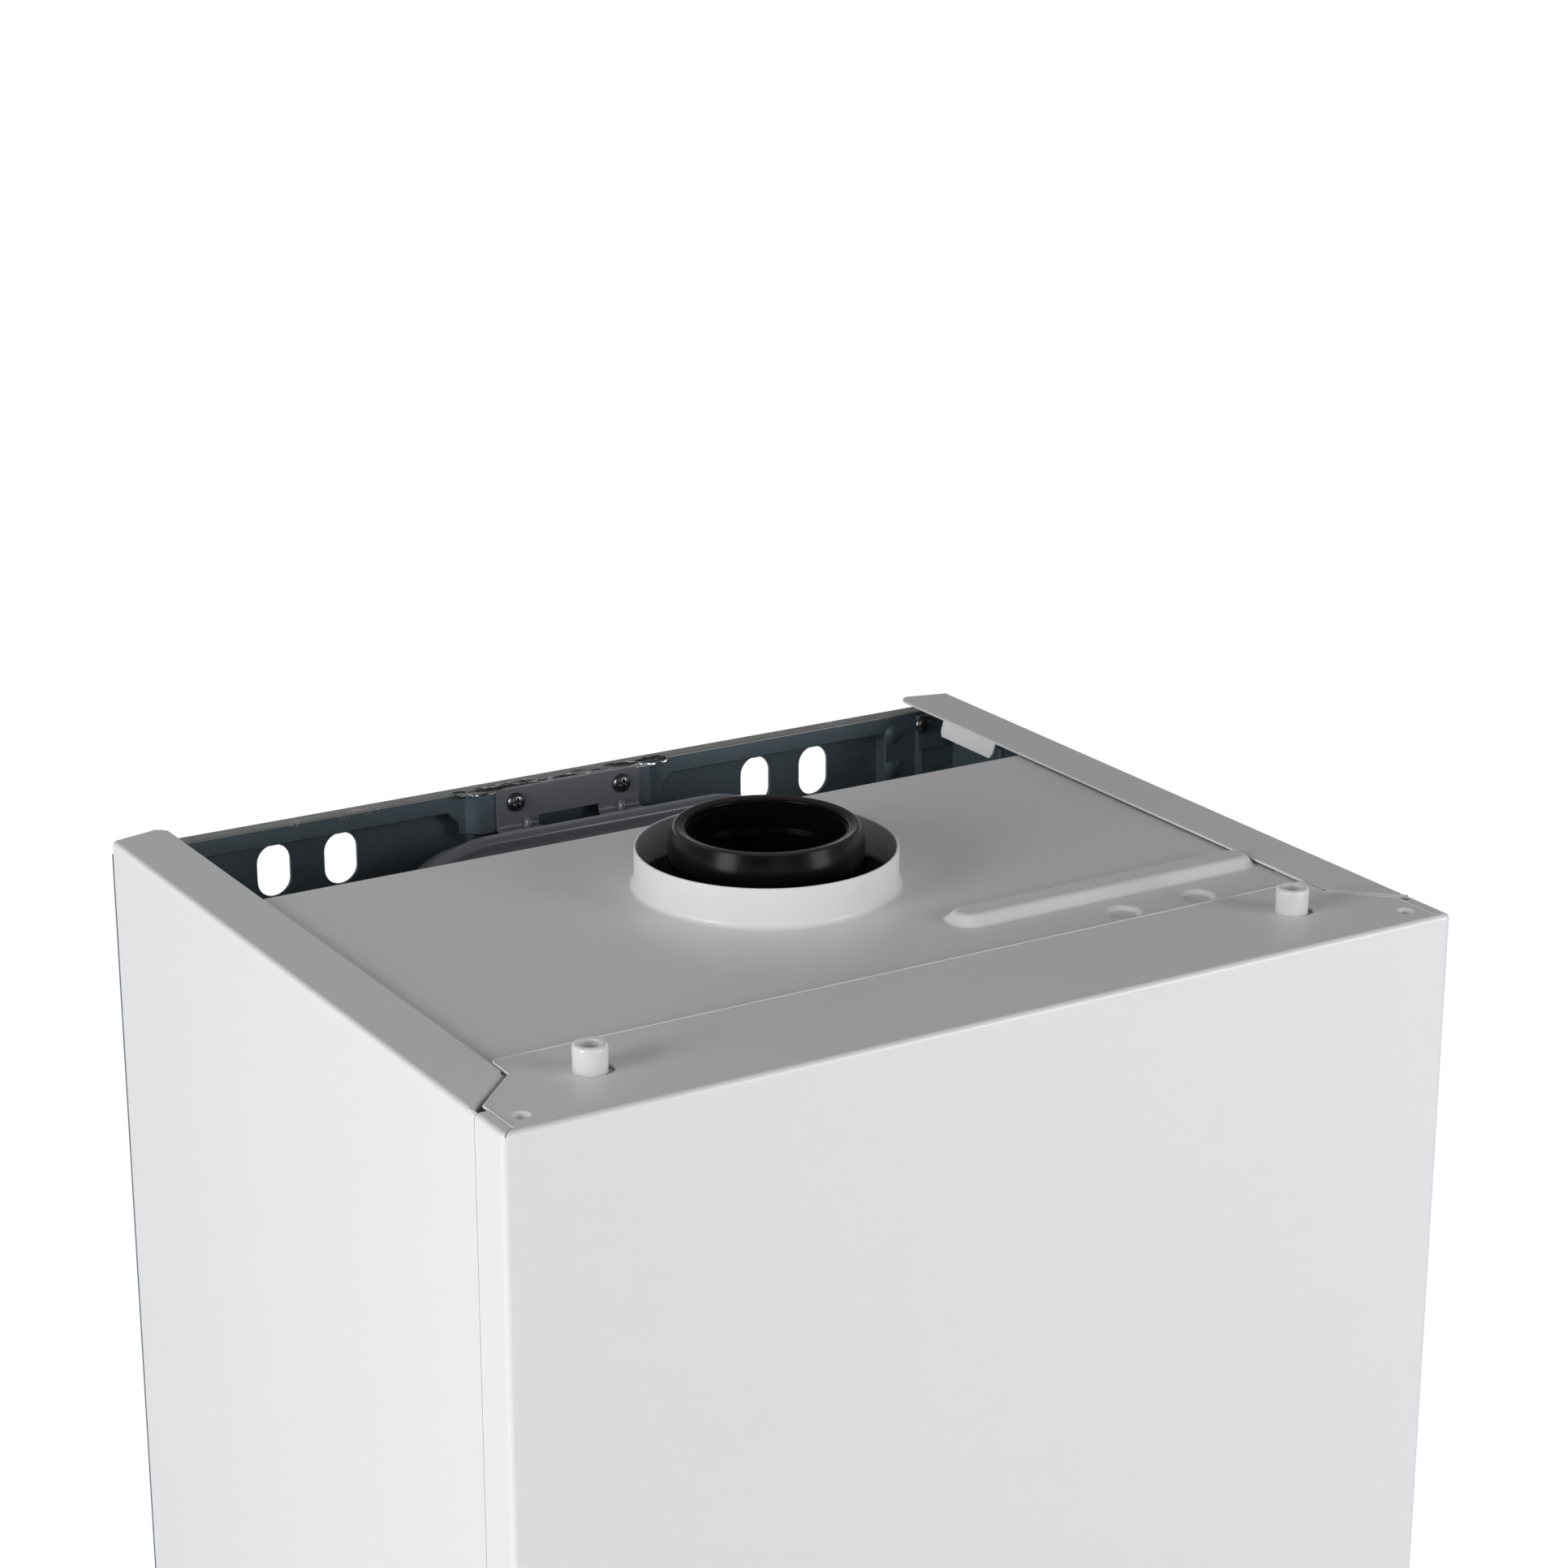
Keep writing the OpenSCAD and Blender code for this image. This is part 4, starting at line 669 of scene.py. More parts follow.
def turned_brass(name, dark, thread_top=None):
    """Turned brass with fine lines round it, or with a pipe thread below a height."""
    tree, shader = started(name, Roughness=0.3, Metallic=1)
    lines = placed(tree, "Grain", First=shade(BRASS), Second=dark, Along_X=60, Along_Y=60, Along_Z=2400)
    if thread_top is None:
        relief = bump(tree, lines["Height"], 0.01)
    else:
        rings = placed(tree, "Thread", Pitch_scale=550, Top=thread_top)
        relief = bump(tree, rings["Height"], 0.8)
    feed(tree, shader, Base_Color=lines["Colour"], Normal=relief)


def circuit_board():
    """Green solder mask with paler tracks."""
    tree, shader = started("circuit_board", Roughness=0.3)
    turned = add(tree, "Mapping", Vector=place(tree), Rotation=(radians(90), 0, 0))
    tracks = add(tree, "TexBrick", Vector=turned.outputs["Vector"], Scale=55, Mortar=(0.07, 0.3, 0.1, 1),
                 Color1=(0.02, 0.13, 0.04, 1), Color2=(0.025, 0.16, 0.05, 1))
    feed(tree, shader, Base_Color=tracks.outputs["Color"], Normal=bump(tree, tracks.outputs["Fac"], 0.05))


def overlaid(tree, factor, colour):
    """Lays a colour over the shader's base colour by a factor."""
    base = tree.nodes["Principled BSDF"].inputs["Base Color"]
    plug(tree, base, blended(tree, factor, base.links[0].from_socket, colour))


def painted_light_and_wear():
    """Paints a paler grey on the beam's top as painted light with dust, bright specks along the beam's top
    edge as wear and painted glints, and a paler grey on the seal's rim as a painted sheen.
    """
    tree = bpy.data.materials["dark_zinc"].node_tree
    top = BEAM_HIGH.z
    # The beam's top in paler grey: painted light on the lit top, with dust
    overlaid(tree, ranged(tree, height(tree), top - 0.6 * MM, top - 0.4 * MM), BEAM_TOP_LIGHT_AND_DUST)
    # Bright specks along the beam's top edge: worn steel and painted glints
    wear_and_glints = placed(tree, "Specks", Scale=650, Share=0.09, Band_low=top - 2.2 * MM, Band_high=top - 0.6 * MM)
    overlaid(tree, wear_and_glints["Mask"], BARE_STEEL_AND_GLINT)
    tree = bpy.data.materials["black_rubber"].node_tree
    top = SEAL_HIGH.z
    # The seal's top rim in paler grey: a painted sheen
    overlaid(tree, ranged(tree, height(tree), top - 0.9 * MM, top - 0.4 * MM), SEAL_TOP_SHEEN)


def dress(piece, finish):
    """Gives a piece one finish in place of what it had."""
    piece.data.materials.clear()
    piece.data.materials.append(bpy.data.materials[finish])


class BOILER_OT_finishes(bpy.types.Operator):
    """Makes the shader groups and finishes, and dresses every CAD node"""
    bl_idname = "boiler.finishes"
    bl_label = "Finishes"

    def execute(self, context):
        for build in (group_mottle, group_peel, group_grain, group_spangle, group_specks, group_thread):
            build()
        for make, rows in ((coat, COATS), (metal, METALS)):
            for name, (colour, *more) in rows.items():
                if isinstance(colour, str):
                    colour = getattr(context.scene.boiler_colours, colour)
                make(name, colour, *more)
        turned_brass("brass", shade(BRASS, 0.85))
        turned_brass("threaded_brass", shade(DARK_BRASS), TRAY_LOW.z - 15 * MM)
        circuit_board()
        painted_light_and_wear()
        slots = {part["node"]: part["material_slot"] for part in frame["record"]["subparts"]}
        for name, node in frame["nodes"].items():
            dress(node, "threaded_brass" if name == "pipe_stubs" else slots[name])
        return {"FINISHED"}


# Casing

# The points of flange_edge that lie along the top flange
RIM_START, RIM_END = 1, 11


def flange_edge(casing, side):
    """Plan of what is cut away beside the front panel's top flange, on one side."""
    half, front, back = PANEL_HIGH.x, PANEL_LOW.y, PANEL_HIGH.y
    lip_x = half - casing.lip
    step_x = half - casing.flange - 1.5 * MM
    slope = front + casing.return_depth - 1.6 * casing.gap + half
    r = 2.5 * MM
    points = [(lip_x, front + 3.6 * MM), (lip_x - casing.gap, front + 3.6 * MM),
              (lip_x - casing.gap, slope - lip_x + casing.gap), (step_x, slope - step_x)]
    points += arc((step_x - r, back - r), r, 0, 90)
    points += [(step_x - 2 * r, back + 3 * MM), (half + MM, back + 3 * MM),
               (half + MM, front + casing.return_depth), (lip_x, front + casing.return_depth)]
    return [(side * x, y) for x, y in points]


def corner_slit(casing, side):
    """Plan of the narrow mitre between a lip and the top flange."""
    start = Vector((PANEL_HIGH.x - casing.lip - casing.gap / 2, PANEL_LOW.y + 3.8 * MM))
    end = Vector((PANEL_HIGH.x - 0.6 * MM, PANEL_LOW.y - 0.2 * MM))
    across = (end - start).orthogonal().normalized() * casing.gap * 0.3
    return [(side * p.x, p.y) for p in (start + across, start - across, end - across, end + across)]


def pin_slot(side):
    """Plan of the slot round a locating pin."""
    return oblong((side * (PIN_HIGH.x - PIN_FLANGE) + 1.2 * MM, PIN_MIDDLE_Y), 15 * MM, 12.8 * MM, 20)


def edge_bead(name, points, level, radius):
    """The thick edge that powder coat leaves along a cut, as short rods from point to point."""
    z = level - 0.64 * radius
    return joined(name, [rod(name, (*here, z), (*there, z), radius, 12)
                         for here, there in zip(points, points[1:])])


def pressed_dimple(name, spot, level, radius, depth, ease, sheet):
    """A bowl pressed down into sheet, with an eased rim that meets a hole of radius plus ease."""
    outer = radius + ease
    upper = [(outer, level), (outer - 0.35 * ease, level - 0.05 * depth),
             (outer - 0.7 * ease, level - 0.16 * depth), (radius, level - 0.34 * depth),
             (radius - 0.55 * ease, level - 0.76 * depth), (radius - 0.9 * ease, level - 0.94 * depth),
             (radius - 1.4 * ease, level - depth), (0, level - depth)]
    lower = [(0, level - depth - sheet), (outer, level - sheet)]
    return spun(name, upper + lower, spot, steps=48, closed=False)


class BOILER_OT_front_panel(bpy.types.Operator):
    """Folds the front panel: a bent sheet with mitred lips, pin slots and clinched corners"""
    bl_idname = "boiler.front_panel"
    bl_label = "Front panel"

    def execute(self, context):
        casing = context.scene.boiler_casing
        low, high = PANEL_LOW, PANEL_HIGH
        panel = block("front_sheet", low, high)
        pick(panel, "FACE", lambda normal: normal.y > 0.9)
        bpy.ops.mesh.delete(type="FACE")
        back = high.y - 0.01 * MM
        pick(panel, "EDGE", lambda a, b: min(a.y, b.y) < back)
        bpy.ops.mesh.bevel(offset=casing.bend, segments=5, affect="EDGES")
        modify(panel, "SOLIDIFY", thickness=casing.sheet, offset=-1, use_even_offset=True)
        cut(panel, block("behind", (low.x - MM, low.y + casing.return_depth, low.z - MM),
                         (high.x + MM, high.y + MM, high.z - casing.sheet)))
        plans = [plan(casing, side) for side in SIDES for plan in (flange_edge, corner_slit)]
        for plan in plans + [pin_slot(side) for side in SIDES]:
            cut(panel, filled("opening", flat(plan, high.z - casing.sheet - 0.6 * MM), (0, 0, 3 * MM)))
        ease_edges(panel, casing.burr)
        rim = flange_edge(casing, 1)[RIM_START:RIM_END]
        rim += [(-x, y) for x, y in reversed(rim)]
        pieces = [panel, edge_bead("flange_bead", rim, high.z, casing.bead)]
        for side in SIDES:
            spot = (side * (high.x - 12.7 * MM), low.y + 11.3 * MM)
            cut(panel, rod("clinch_hole", (*spot, high.z - 2 * MM), (*spot, high.z + MM),
                           casing.clinch + 0.8 * MM))
            pieces.append(pressed_dimple("clinch", spot, high.z, casing.clinch, 2.4 * MM, 0.8 * MM,
                                         casing.sheet))
        complete(joined("front_panel_skin", pieces), "front_panel", "white_paint", "front_panel")
        return {"FINISHED"}


class BOILER_OT_side_panels(bpy.types.Operator):
    """Folds the two side panels, with their mitred flanges and hanging tabs"""
    bl_idname = "boiler.side_panels"
    bl_label = "Side panels"

    def execute(self, context):
        casing = context.scene.boiler_casing
        low, high = SIDE_LOW, SIDE_HIGH
        inner = high.x - casing.flange
        panel = self.sheet(casing, inner, low, high)
        bend = 2.3 * MM
        wall, edge = high.x - 1.3 * MM, inner - MM
        front = [(edge, low.y - MM), (wall, low.y - MM), (wall, low.y + 2.1 * MM + bend),
                 (edge, low.y + casing.flange + 1.8 * MM + bend)]
        rear = beside((inner, 0), (-1, -4), (0, -4), (1.5, -1.6), (4, 0))
        rear += beside((high.x, 0), (1, -5.2), (1, 2)) + [(edge, 2 * MM)]
        for plan in (front, rear):
            cut(panel, filled("mitre", flat(plan, low.z - 2 * MM), (0, 0, high.z - low.z + 4 * MM)))
        ease_edges(panel, casing.burr)
        panel = joined("right_side_skin", [panel, self.tab(casing, inner, high.z),
                                           self.mitre_lip(casing, inner, low, high)])
        other = mirrored(panel, "left_side_skin")
        complete(panel, "casing", "white_paint", "right_side_panel")
        complete(other, "casing", "white_paint", "left_side_panel")
        return {"FINISHED"}

    def sheet(self, casing, inner, low, high):
        """The wall with its top and bottom flange, thickened inwards."""
        r = casing.bend
        section = [(inner, high.z)] + arc((high.x - r, high.z - r), r, 90, 0)
        section += arc((high.x - r, low.z + r), r, 0, -90) + [(high.x - casing.foot, low.z)]
        front = low.y - casing.gap + 0.12 * MM
        panel = skin("side", upright(section, front), (0, high.y - front, 0))
        flange = max(panel.data.polygons, key=lambda face: face.center.z)
        if flange.normal.z < 0:
            take(panel)
            edit()
            bpy.ops.mesh.flip_normals()
            leave()
        return modify(panel, "SOLIDIFY", thickness=casing.sheet, offset=-1, use_even_offset=True)

    def tab(self, casing, inner, top):
        """The hanging tab of the top flange, leaning inwards."""
        start, end, drop, slope = -77 * MM, -37 * MM, 7.6 * MM, 2.4 * MM
        outline = [(end, top - 0.4 * MM), (start, top - 0.4 * MM), (start, top - drop + slope),
                   (start + slope * 0.6, top - drop), (end - slope * 0.6, top - drop),
                   (end, top - drop + slope)]
        lean = [(inner - 0.3 * (top - z), y, z) for y, z in outline]
        return ease_edges(filled("tab", lean, (casing.sheet, 0, 0)), casing.burr)

    def mitre_lip(self, casing, inner, low, high):
        """The edge bent down along the mitred front end of the top flange."""
        start = Vector((high.x - 1.4 * MM, low.y + 2.2 * MM, 0))
        end = Vector((inner + 0.5 * MM, low.y + casing.flange + 0.3 * MM, 0))
        into = Vector((1, 1, 0)).normalized()
        r = 1.6 * MM
        section = arc((r, high.z - r), r, 90, 180, 5)
        section += beside((0, high.z), (0, -5), (0.9, -5), (0.9, -1.6), (1.6, -0.9))
        points = [start + into * d + Vector((0, 0, z)) for d, z in section]
        return filled("mitre_lip", points, end - start)


# Roof

class BOILER_OT_roof(bpy.types.Operator):
    """Presses the roof plate with its rib and dimples, and raises the air collar"""
    bl_idname = "boiler.roof"
    bl_label = "Roof plate"

    def execute(self, context):
        roof = context.scene.boiler_roof
        sheet = context.scene.boiler_casing.sheet
        level = ROOF_HIGH.z - 16 * MM
        under, over = level - 3 * MM, level + 2 * MM
        plate = block("plate", ROOF_LOW, (ROOF_HIGH.x, ROOF_HIGH.y, level))
        ease_edges(plate, 0.2 * MM)
        foot = roof.collar + sheet + roof.fillet
        cut(plate, rod("flue_hole", (0, SEAL_MIDDLE_Y, under), (0, SEAL_MIDDLE_Y, over),
                       foot - 0.2 * MM, 128))
        rib_x, rib_y = PANEL_HIGH.x - 94 * MM, PANEL_LOW.y + 93 * MM
        pieces = [plate, self.collar(roof, sheet, level), self.rib(roof, rib_x, rib_y, level)]
        for spot in beside((rib_x, rib_y), (-7, -23), (28, -23)):
            cut(plate, rod("dimple_hole", (*spot, under), (*spot, over), roof.dimple + 1.4 * MM))
            pieces.append(pressed_dimple("dimple", spot, level, roof.dimple, 1.6 * MM, 1.4 * MM, sheet))
        complete(joined("roof_plate", pieces), "casing", "white_paint", "chamber_roof")
        return {"FINISHED"}

    def collar(self, roof, sheet, level):
        """The drawn collar with the fillet at its foot."""
        inner, outer, top = roof.collar, roof.collar + sheet, ROOF_HIGH.z
        foot = arc((outer + roof.fillet, level + roof.fillet), roof.fillet, 180, 270, 8)
        under = arc((inner + roof.fillet + sheet, level - sheet + roof.fillet + sheet), roof.fillet + sheet,
                    270, 180, 8)
        rim = arc((inner + sheet / 2, top - sheet / 2), sheet / 2, 180, 0)
        return spun("collar", rim + foot + under, (0, SEAL_MIDDLE_Y), steps=160)

    def rib(self, roof, x, y, level):
        """The pressed rib, drawn in step by step from its foot: how far inwards and how high, in mm."""
        rib = traced("rib", flat(oblong((x, y), roof.rib_length, roof.rib_width), level + 0.02 * MM))
        bpy.ops.mesh.edge_face_add()
        bpy.ops.mesh.normals_make_consistent(inside=False)
        rises = [(0.5, 0.05), (0.5, 0.2), (0.6, 0.5), (0.8, 0.85), (0.8, 0.85), (0.7, 0.65), (0.6, 0.42),
                 (0.6, 0.28), (0.7, 0.15), (0.8, 0.05)]
        share = roof.rib_height / (4 * MM)
        for inward, rise in rises:
            drawn(inward * MM, (0, 0, rise * MM * share))
        leave()
        return rib


class BOILER_OT_flue_seal(bpy.types.Operator):
    """Turns the rubber flue seal with its inner lips"""
    bl_idname = "boiler.flue_seal"
    bl_label = "Flue seal"

    def execute(self, context):
        roof = context.scene.boiler_roof
        bore, outer = roof.seal_bore, roof.seal_outer
        low, top = SEAL_LOW.z, SEAL_HIGH.z
        stop = top - 16.5 * MM
        profile = beside((outer, low), (-1.1, 0), (-0.4, 0.8))
        profile += beside((outer, stop), (-0.5, -2), (-0.9, 0.5), (-0.4, 3), (-0.05, 5), (0, 8))
        profile += beside((outer, top), (-0.5, -5), (-1.2, -3))
        profile += arc((outer - 3.1 * MM, top - 1.4 * MM), 1.4 * MM, 20, 90)
        profile += beside((bore, top), (2.6, -0.3))
        profile += arc((bore + 1.3 * MM, top - 1.6 * MM), 1.0 * MM, 70, 180, 5)
        for k in range(6):
            level = top - (2.9 + 1.7 * k) * MM
            profile += beside((bore, level), (0.5, 0), (-0.1, -0.35), (-0.1, -0.6), (0.5, -0.95))
        profile += beside((bore, stop), (0, 2), (-4.2, 1.8), (-5, -14), (-6, -14), (-4.6, 0.4), (-1, 0))
        profile += beside((bore, low), (-1, 0))
        seal = spun("flue_seal_rubber", profile, (0, SEAL_MIDDLE_Y), steps=160)
        complete(seal, "casing", "black_rubber", "flue_seal", angle=38)
        return {"FINISHED"}


class BOILER_OT_pins(bpy.types.Operator):
    """Turns the two hollow nylon locating pins"""
    bl_idname = "boiler.pins"
    bl_label = "Locating pins"

    def execute(self, context):
        roof = context.scene.boiler_roof
        low, top, r, bore = PIN_LOW.z, PIN_HIGH.z, roof.pin, roof.pin_bore
        profile = [(0, low)] + beside((r + 0.5 * MM, low), (0, 0), (0, 0.8), (-0.2, 1))
        profile += beside((r, low), (0, 1), (-0.05, 5)) + beside((r, top), (0, -2.6))
        profile += arc((r - 1.4 * MM, top - 1.4 * MM), 1.4 * MM, 0, 90, 8)
        profile += arc((bore + 0.9 * MM, top - 0.9 * MM), 0.9 * MM, 90, 180)
        profile += beside((bore, top), (-0.1, -4.6), (-0.8, -5.2)) + beside((0, top), (0, -5.2))
        spread = (PIN_HIGH.x - PIN_LOW.x) / 2 - PIN_FLANGE
        left = spun("pin", profile, (-spread, PIN_MIDDLE_Y), steps=96, closed=False)
        right = moved_copy(left, (2 * spread, 0, 0))
        complete(joined("nylon_pins", [left, right]), "casing", "nylon", "locating_pins")
        return {"FINISHED"}


# Rear frame

# Places along the beam and heights, in mm
HANGING_SLOTS = (-130, -100, 100, 130)
STUD_OUT = 168
STUD_HEIGHTS = (12, -4)
CREASE_STRETCH = 4


class BOILER_OT_rear_beam(bpy.types.Operator):
    """Presses the top rear beam with its recesses, raised middle and hanging slots"""
    bl_idname = "boiler.rear_beam"
    bl_label = "Top rear beam"

    def execute(self, context):
        rear = context.scene.boiler_rear
        t = rear.steel
        half, low, top = BEAM_HIGH.x, BEAM_LOW.z, BEAM_HIGH.z
        beam = block("beam", (-half, BEAM_FRONT, low), (half, 0, top))
        cut(beam, *[self.recess(side, BEAM_FRONT - MM, -t, 0) for side in SIDES])
        ease_edges(beam, rear.press, segments=3, angle=50)
        hollow = block("hollow", (-half + t, BEAM_FRONT + t, low + t), (half - t, MM, top - t))
        cut(hollow, *[self.recess(side, BEAM_FRONT, 2 * MM, t) for side in SIDES])
        cut(beam, hollow)
        for x in HANGING_SLOTS:
            hole = oblong((x * MM, 0), rear.slot_width, rear.slot_height, 20)
            cut(beam, filled("slot", upright(hole, -20 * MM), (0, 30 * MM, 0)))
        nose = self.nose(t, top)
        hem = self.creased_strip(top)
        lugs = [self.lug(side, half, top) for side in SIDES]
        studs = [self.stud(side * STUD_OUT * MM, z * MM) for side in SIDES for z in STUD_HEIGHTS]
        beam = joined("beam_pressing", [beam, *nose, *lugs, *studs])
        complete(beam, "casing", "dark_zinc", "top_rear_beam", angle=32)
        complete(hem, "casing", "dark_zinc", finish="crumpled_zinc", angle=60)
        return {"FINISHED"}

    def recess(self, side, front, back, grow):
        """One recess of the beam, larger by grow for its back."""
        z1, z0 = 13 * MM + grow, -34 * MM - grow
        x0, x1, slope = 42 * MM - grow, 164 * MM + grow, 12 * MM
        outline = [(x0 + slope, z1), (x1 - 2 * MM, z1), (x1, z1 - 2 * MM), (x1, z0), (x0, z0),
                   (x0, z1 - slope)]
        return filled("recess", upright([(side * x, z) for x, z in outline], front), (0, back - front, 0))

    def nose(self, t, top):
        """The raised middle, open behind the bracket's slot, and its lid."""
        front, low, reach = -13.5 * MM, BRACKET_LOW.z, 42 * MM
        plan = beside((-reach, 0), (-7, -8), (-4, -8.6), (0, -12.3), (3, -13.5))
        plan += [(-x, y) for x, y in reversed(plan)]
        plan += [(reach, -7 * MM), (reach - 3 * MM, front + t), (-reach + 3 * MM, front + t),
                 (-reach, -7 * MM)]
        nose = filled("nose", flat(plan, low), (0, 0, top - low))
        ease_edges(nose, 0.9 * MM, segments=3, angle=25)
        cut(nose, block("opening", (-16 * MM, front - MM, low - MM), (16 * MM, front + 2 * t, low + 7 * MM)))
        return nose, block("nose_lid", (-reach + 2 * MM, front + 0.6 * MM, top - t),
                           (reach - 2 * MM, -7 * MM, top - 0.1 * MM))

    def creased_strip(self, top):
        """The crushed top of the raised middle, its creases drawn out along the beam."""
        settle()
        bpy.ops.mesh.primitive_grid_add(x_subdivisions=160, y_subdivisions=18, size=1,
                                        location=(0, -9.2 * MM, top + 0.15 * MM))
        bpy.context.object.scale = (100 * MM / CREASE_STRETCH, 8 * MM, 1)
        strip = named("beam_hem")
        creases = bpy.data.textures.new("creases", "CLOUDS")
        creases.noise_scale = 3.2 * MM
        creases.noise_depth = 2
        modify(strip, "DISPLACE", texture=creases, direction="Z", strength=2.4 * MM, mid_level=0.5)
        strip.scale.x = CREASE_STRETCH
        bpy.ops.object.transform_apply()
        return modify(strip, "SOLIDIFY", thickness=0.8 * MM, offset=-1)

    def lug(self, side, half, top):
        """An end lug that laps over the post."""
        x0, x1 = sorted((side * (half - 15 * MM), side * half))
        return ease_edges(block("lug", (x0, -15 * MM, 5 * MM), (x1, -13.5 * MM, top)), 0.6 * MM)

    def stud(self, x, z):
        """A small dimple pressed forwards."""
        profile = beside((0, BEAM_FRONT + 0.1 * MM), (0, -1.5), (2, -1.3), (3.4, -0.7), (4.6, 0), (4.6, 0.5),
                         (0, 0.5))
        return spun("stud", profile, (x, z), along="Y", steps=32, closed=False)


class BOILER_OT_leaves(bpy.types.Operator):
    """Folds the two gusset leaves that tie the beam's ends to the side panels"""
    bl_idname = "boiler.leaves"
    bl_label = "Gusset leaves"

    def execute(self, context):
        t = context.scene.boiler_rear.steel
        outer, back, reach = POST_OUTSIDE - 0.3 * MM, -4 * MM, -92 * MM
        top, low = BEAM_HIGH.z + 1.5 * MM, -60 * MM
        leaf = block("leaf", (outer - t, reach, low), (outer, back, top))
        fold = block("fold", (outer - 9 * MM, reach, top - t), (outer - 0.2 * MM, back - 14 * MM, top))
        rib_x, rib_y = outer - t, -52 * MM
        rib = rod("leaf_rib", (rib_x, rib_y, low + 4 * MM), (rib_x, rib_y, top - 9 * MM), 2.2 * MM, 24)
        for sheet in (leaf, fold):
            ease_edges(sheet, 0.4 * MM)
        leaf = joined("right_leaf", [leaf, fold, rib])
        for piece in (leaf, mirrored(leaf, "left_leaf")):
            complete(piece, "casing", "dark_zinc")
        return {"FINISHED"}


class BOILER_OT_vessel(bpy.types.Operator):
    """Dishes the two shells of the expansion vessel and crimps their rim"""
    bl_idname = "boiler.vessel"
    bl_label = "Expansion vessel"

    def execute(self, context):
        corner = context.scene.boiler_rear.vessel_corner
        split = -44 * MM
        shells = (("front", -1, split - VESSEL_FRONT_LOW.y), ("rear", 1, VESSEL_REAR_HIGH.y - split))
        pieces = [self.shell(*shell, corner, split) for shell in shells]
        for (name, _, _), piece in zip(shells, pieces):
            complete(piece, "casing", "grey_paint", f"vessel_{name}_shell")
        return {"FINISHED"}

    def shell(self, name, sign, reach, corner, split):
        """One shell, pushed out from the split plane in steps: how far inwards and how far out, in mm."""
        crimp = [(0, 2.8), (0.5, 0.8), (0.8, 0.5), (1.0, 0.1), (2.0, -0.1)]
        dome = [(0.9, 3.4), (0.7, 5), (1.2, 8), (2.2, 8), (3.8, 6), (5.5, 3.2), (8, 1.4)]
        top, low = VESSEL_FRONT_HIGH.z, VESSEL_REAR_LOW.z
        settle()
        bpy.ops.mesh.primitive_plane_add(size=1, location=(0, split, (top + low) / 2),
                                         rotation=(radians(90 * -sign), 0, 0))
        bpy.context.object.scale = (VESSEL_FRONT_HIGH.x - VESSEL_FRONT_LOW.x, top - low, 1)
        shell = named("vessel_front" if sign < 0 else "vessel_back")
        edit()
        whole()
        bpy.ops.mesh.bevel(offset=corner, segments=16, affect="VERTICES")
        steps = crimp + dome
        share = reach / (sum(rise for _, rise in steps) * MM)
        for inward, rise in steps:
            push = (0, sign * rise * share * MM, 0)
            if inward == 0:
                bpy.ops.mesh.extrude_region_move(TRANSFORM_OT_translate={"value": push})
            else:
                drawn(inward * MM, push)
        outward()
        return shell


class BOILER_OT_bracket(bpy.types.Operator):
    """Folds the vessel's bracket"""
    bl_idname = "boiler.bracket"
    bl_label = "Vessel bracket"

    def execute(self, context):
        t = context.scene.boiler_rear.steel
        low, high = BRACKET_LOW, BRACKET_HIGH
        face = high.y - t
        section = [(high.y, high.z), (face, high.z)]
        section += arc((face - 1.2 * MM, low.z + t + 1.2 * MM), 1.2 * MM, 0, -90, 5)
        section += [(low.y, low.z + t), (low.y, low.z)]
        section += arc((high.y - 2.7 * MM, low.z + 2.7 * MM), 2.7 * MM, -90, 0)
        plate = filled("plate", [(low.x, y, z) for y, z in section], (high.x - low.x, 0, 0))
        pick(plate, "EDGE", lambda a, b: min(a.z, b.z) > high.z - 0.1 * MM and abs(a.x - b.x) < 0.1 * MM)
        bpy.ops.mesh.bevel(offset=3.5 * MM, segments=8, affect="EDGES")
        cut(plate, block("slot", (-14.5 * MM, low.y + MM, low.z - MM),
                         (14.5 * MM, high.y + MM, low.z + 5 * MM)))
        ease_edges(plate, 0.25 * MM)
        gussets = [self.gusset((x * MM, face - 0.6 * MM, low.z + t + 0.6 * MM)) for x in (-20, 25)]
        complete(joined("bracket_pressing", [plate, *gussets]), "casing", "grey_paint", "vessel_bracket")
        return {"FINISHED"}

    def gusset(self, spot):
        """A stiffening dimple across the bend."""
        settle()
        bpy.ops.mesh.primitive_uv_sphere_add(segments=64, ring_count=32, radius=1, location=spot)
        bpy.context.object.scale = (2.2 * MM, 2.6 * MM, 3.4 * MM)
        return named("gusset")


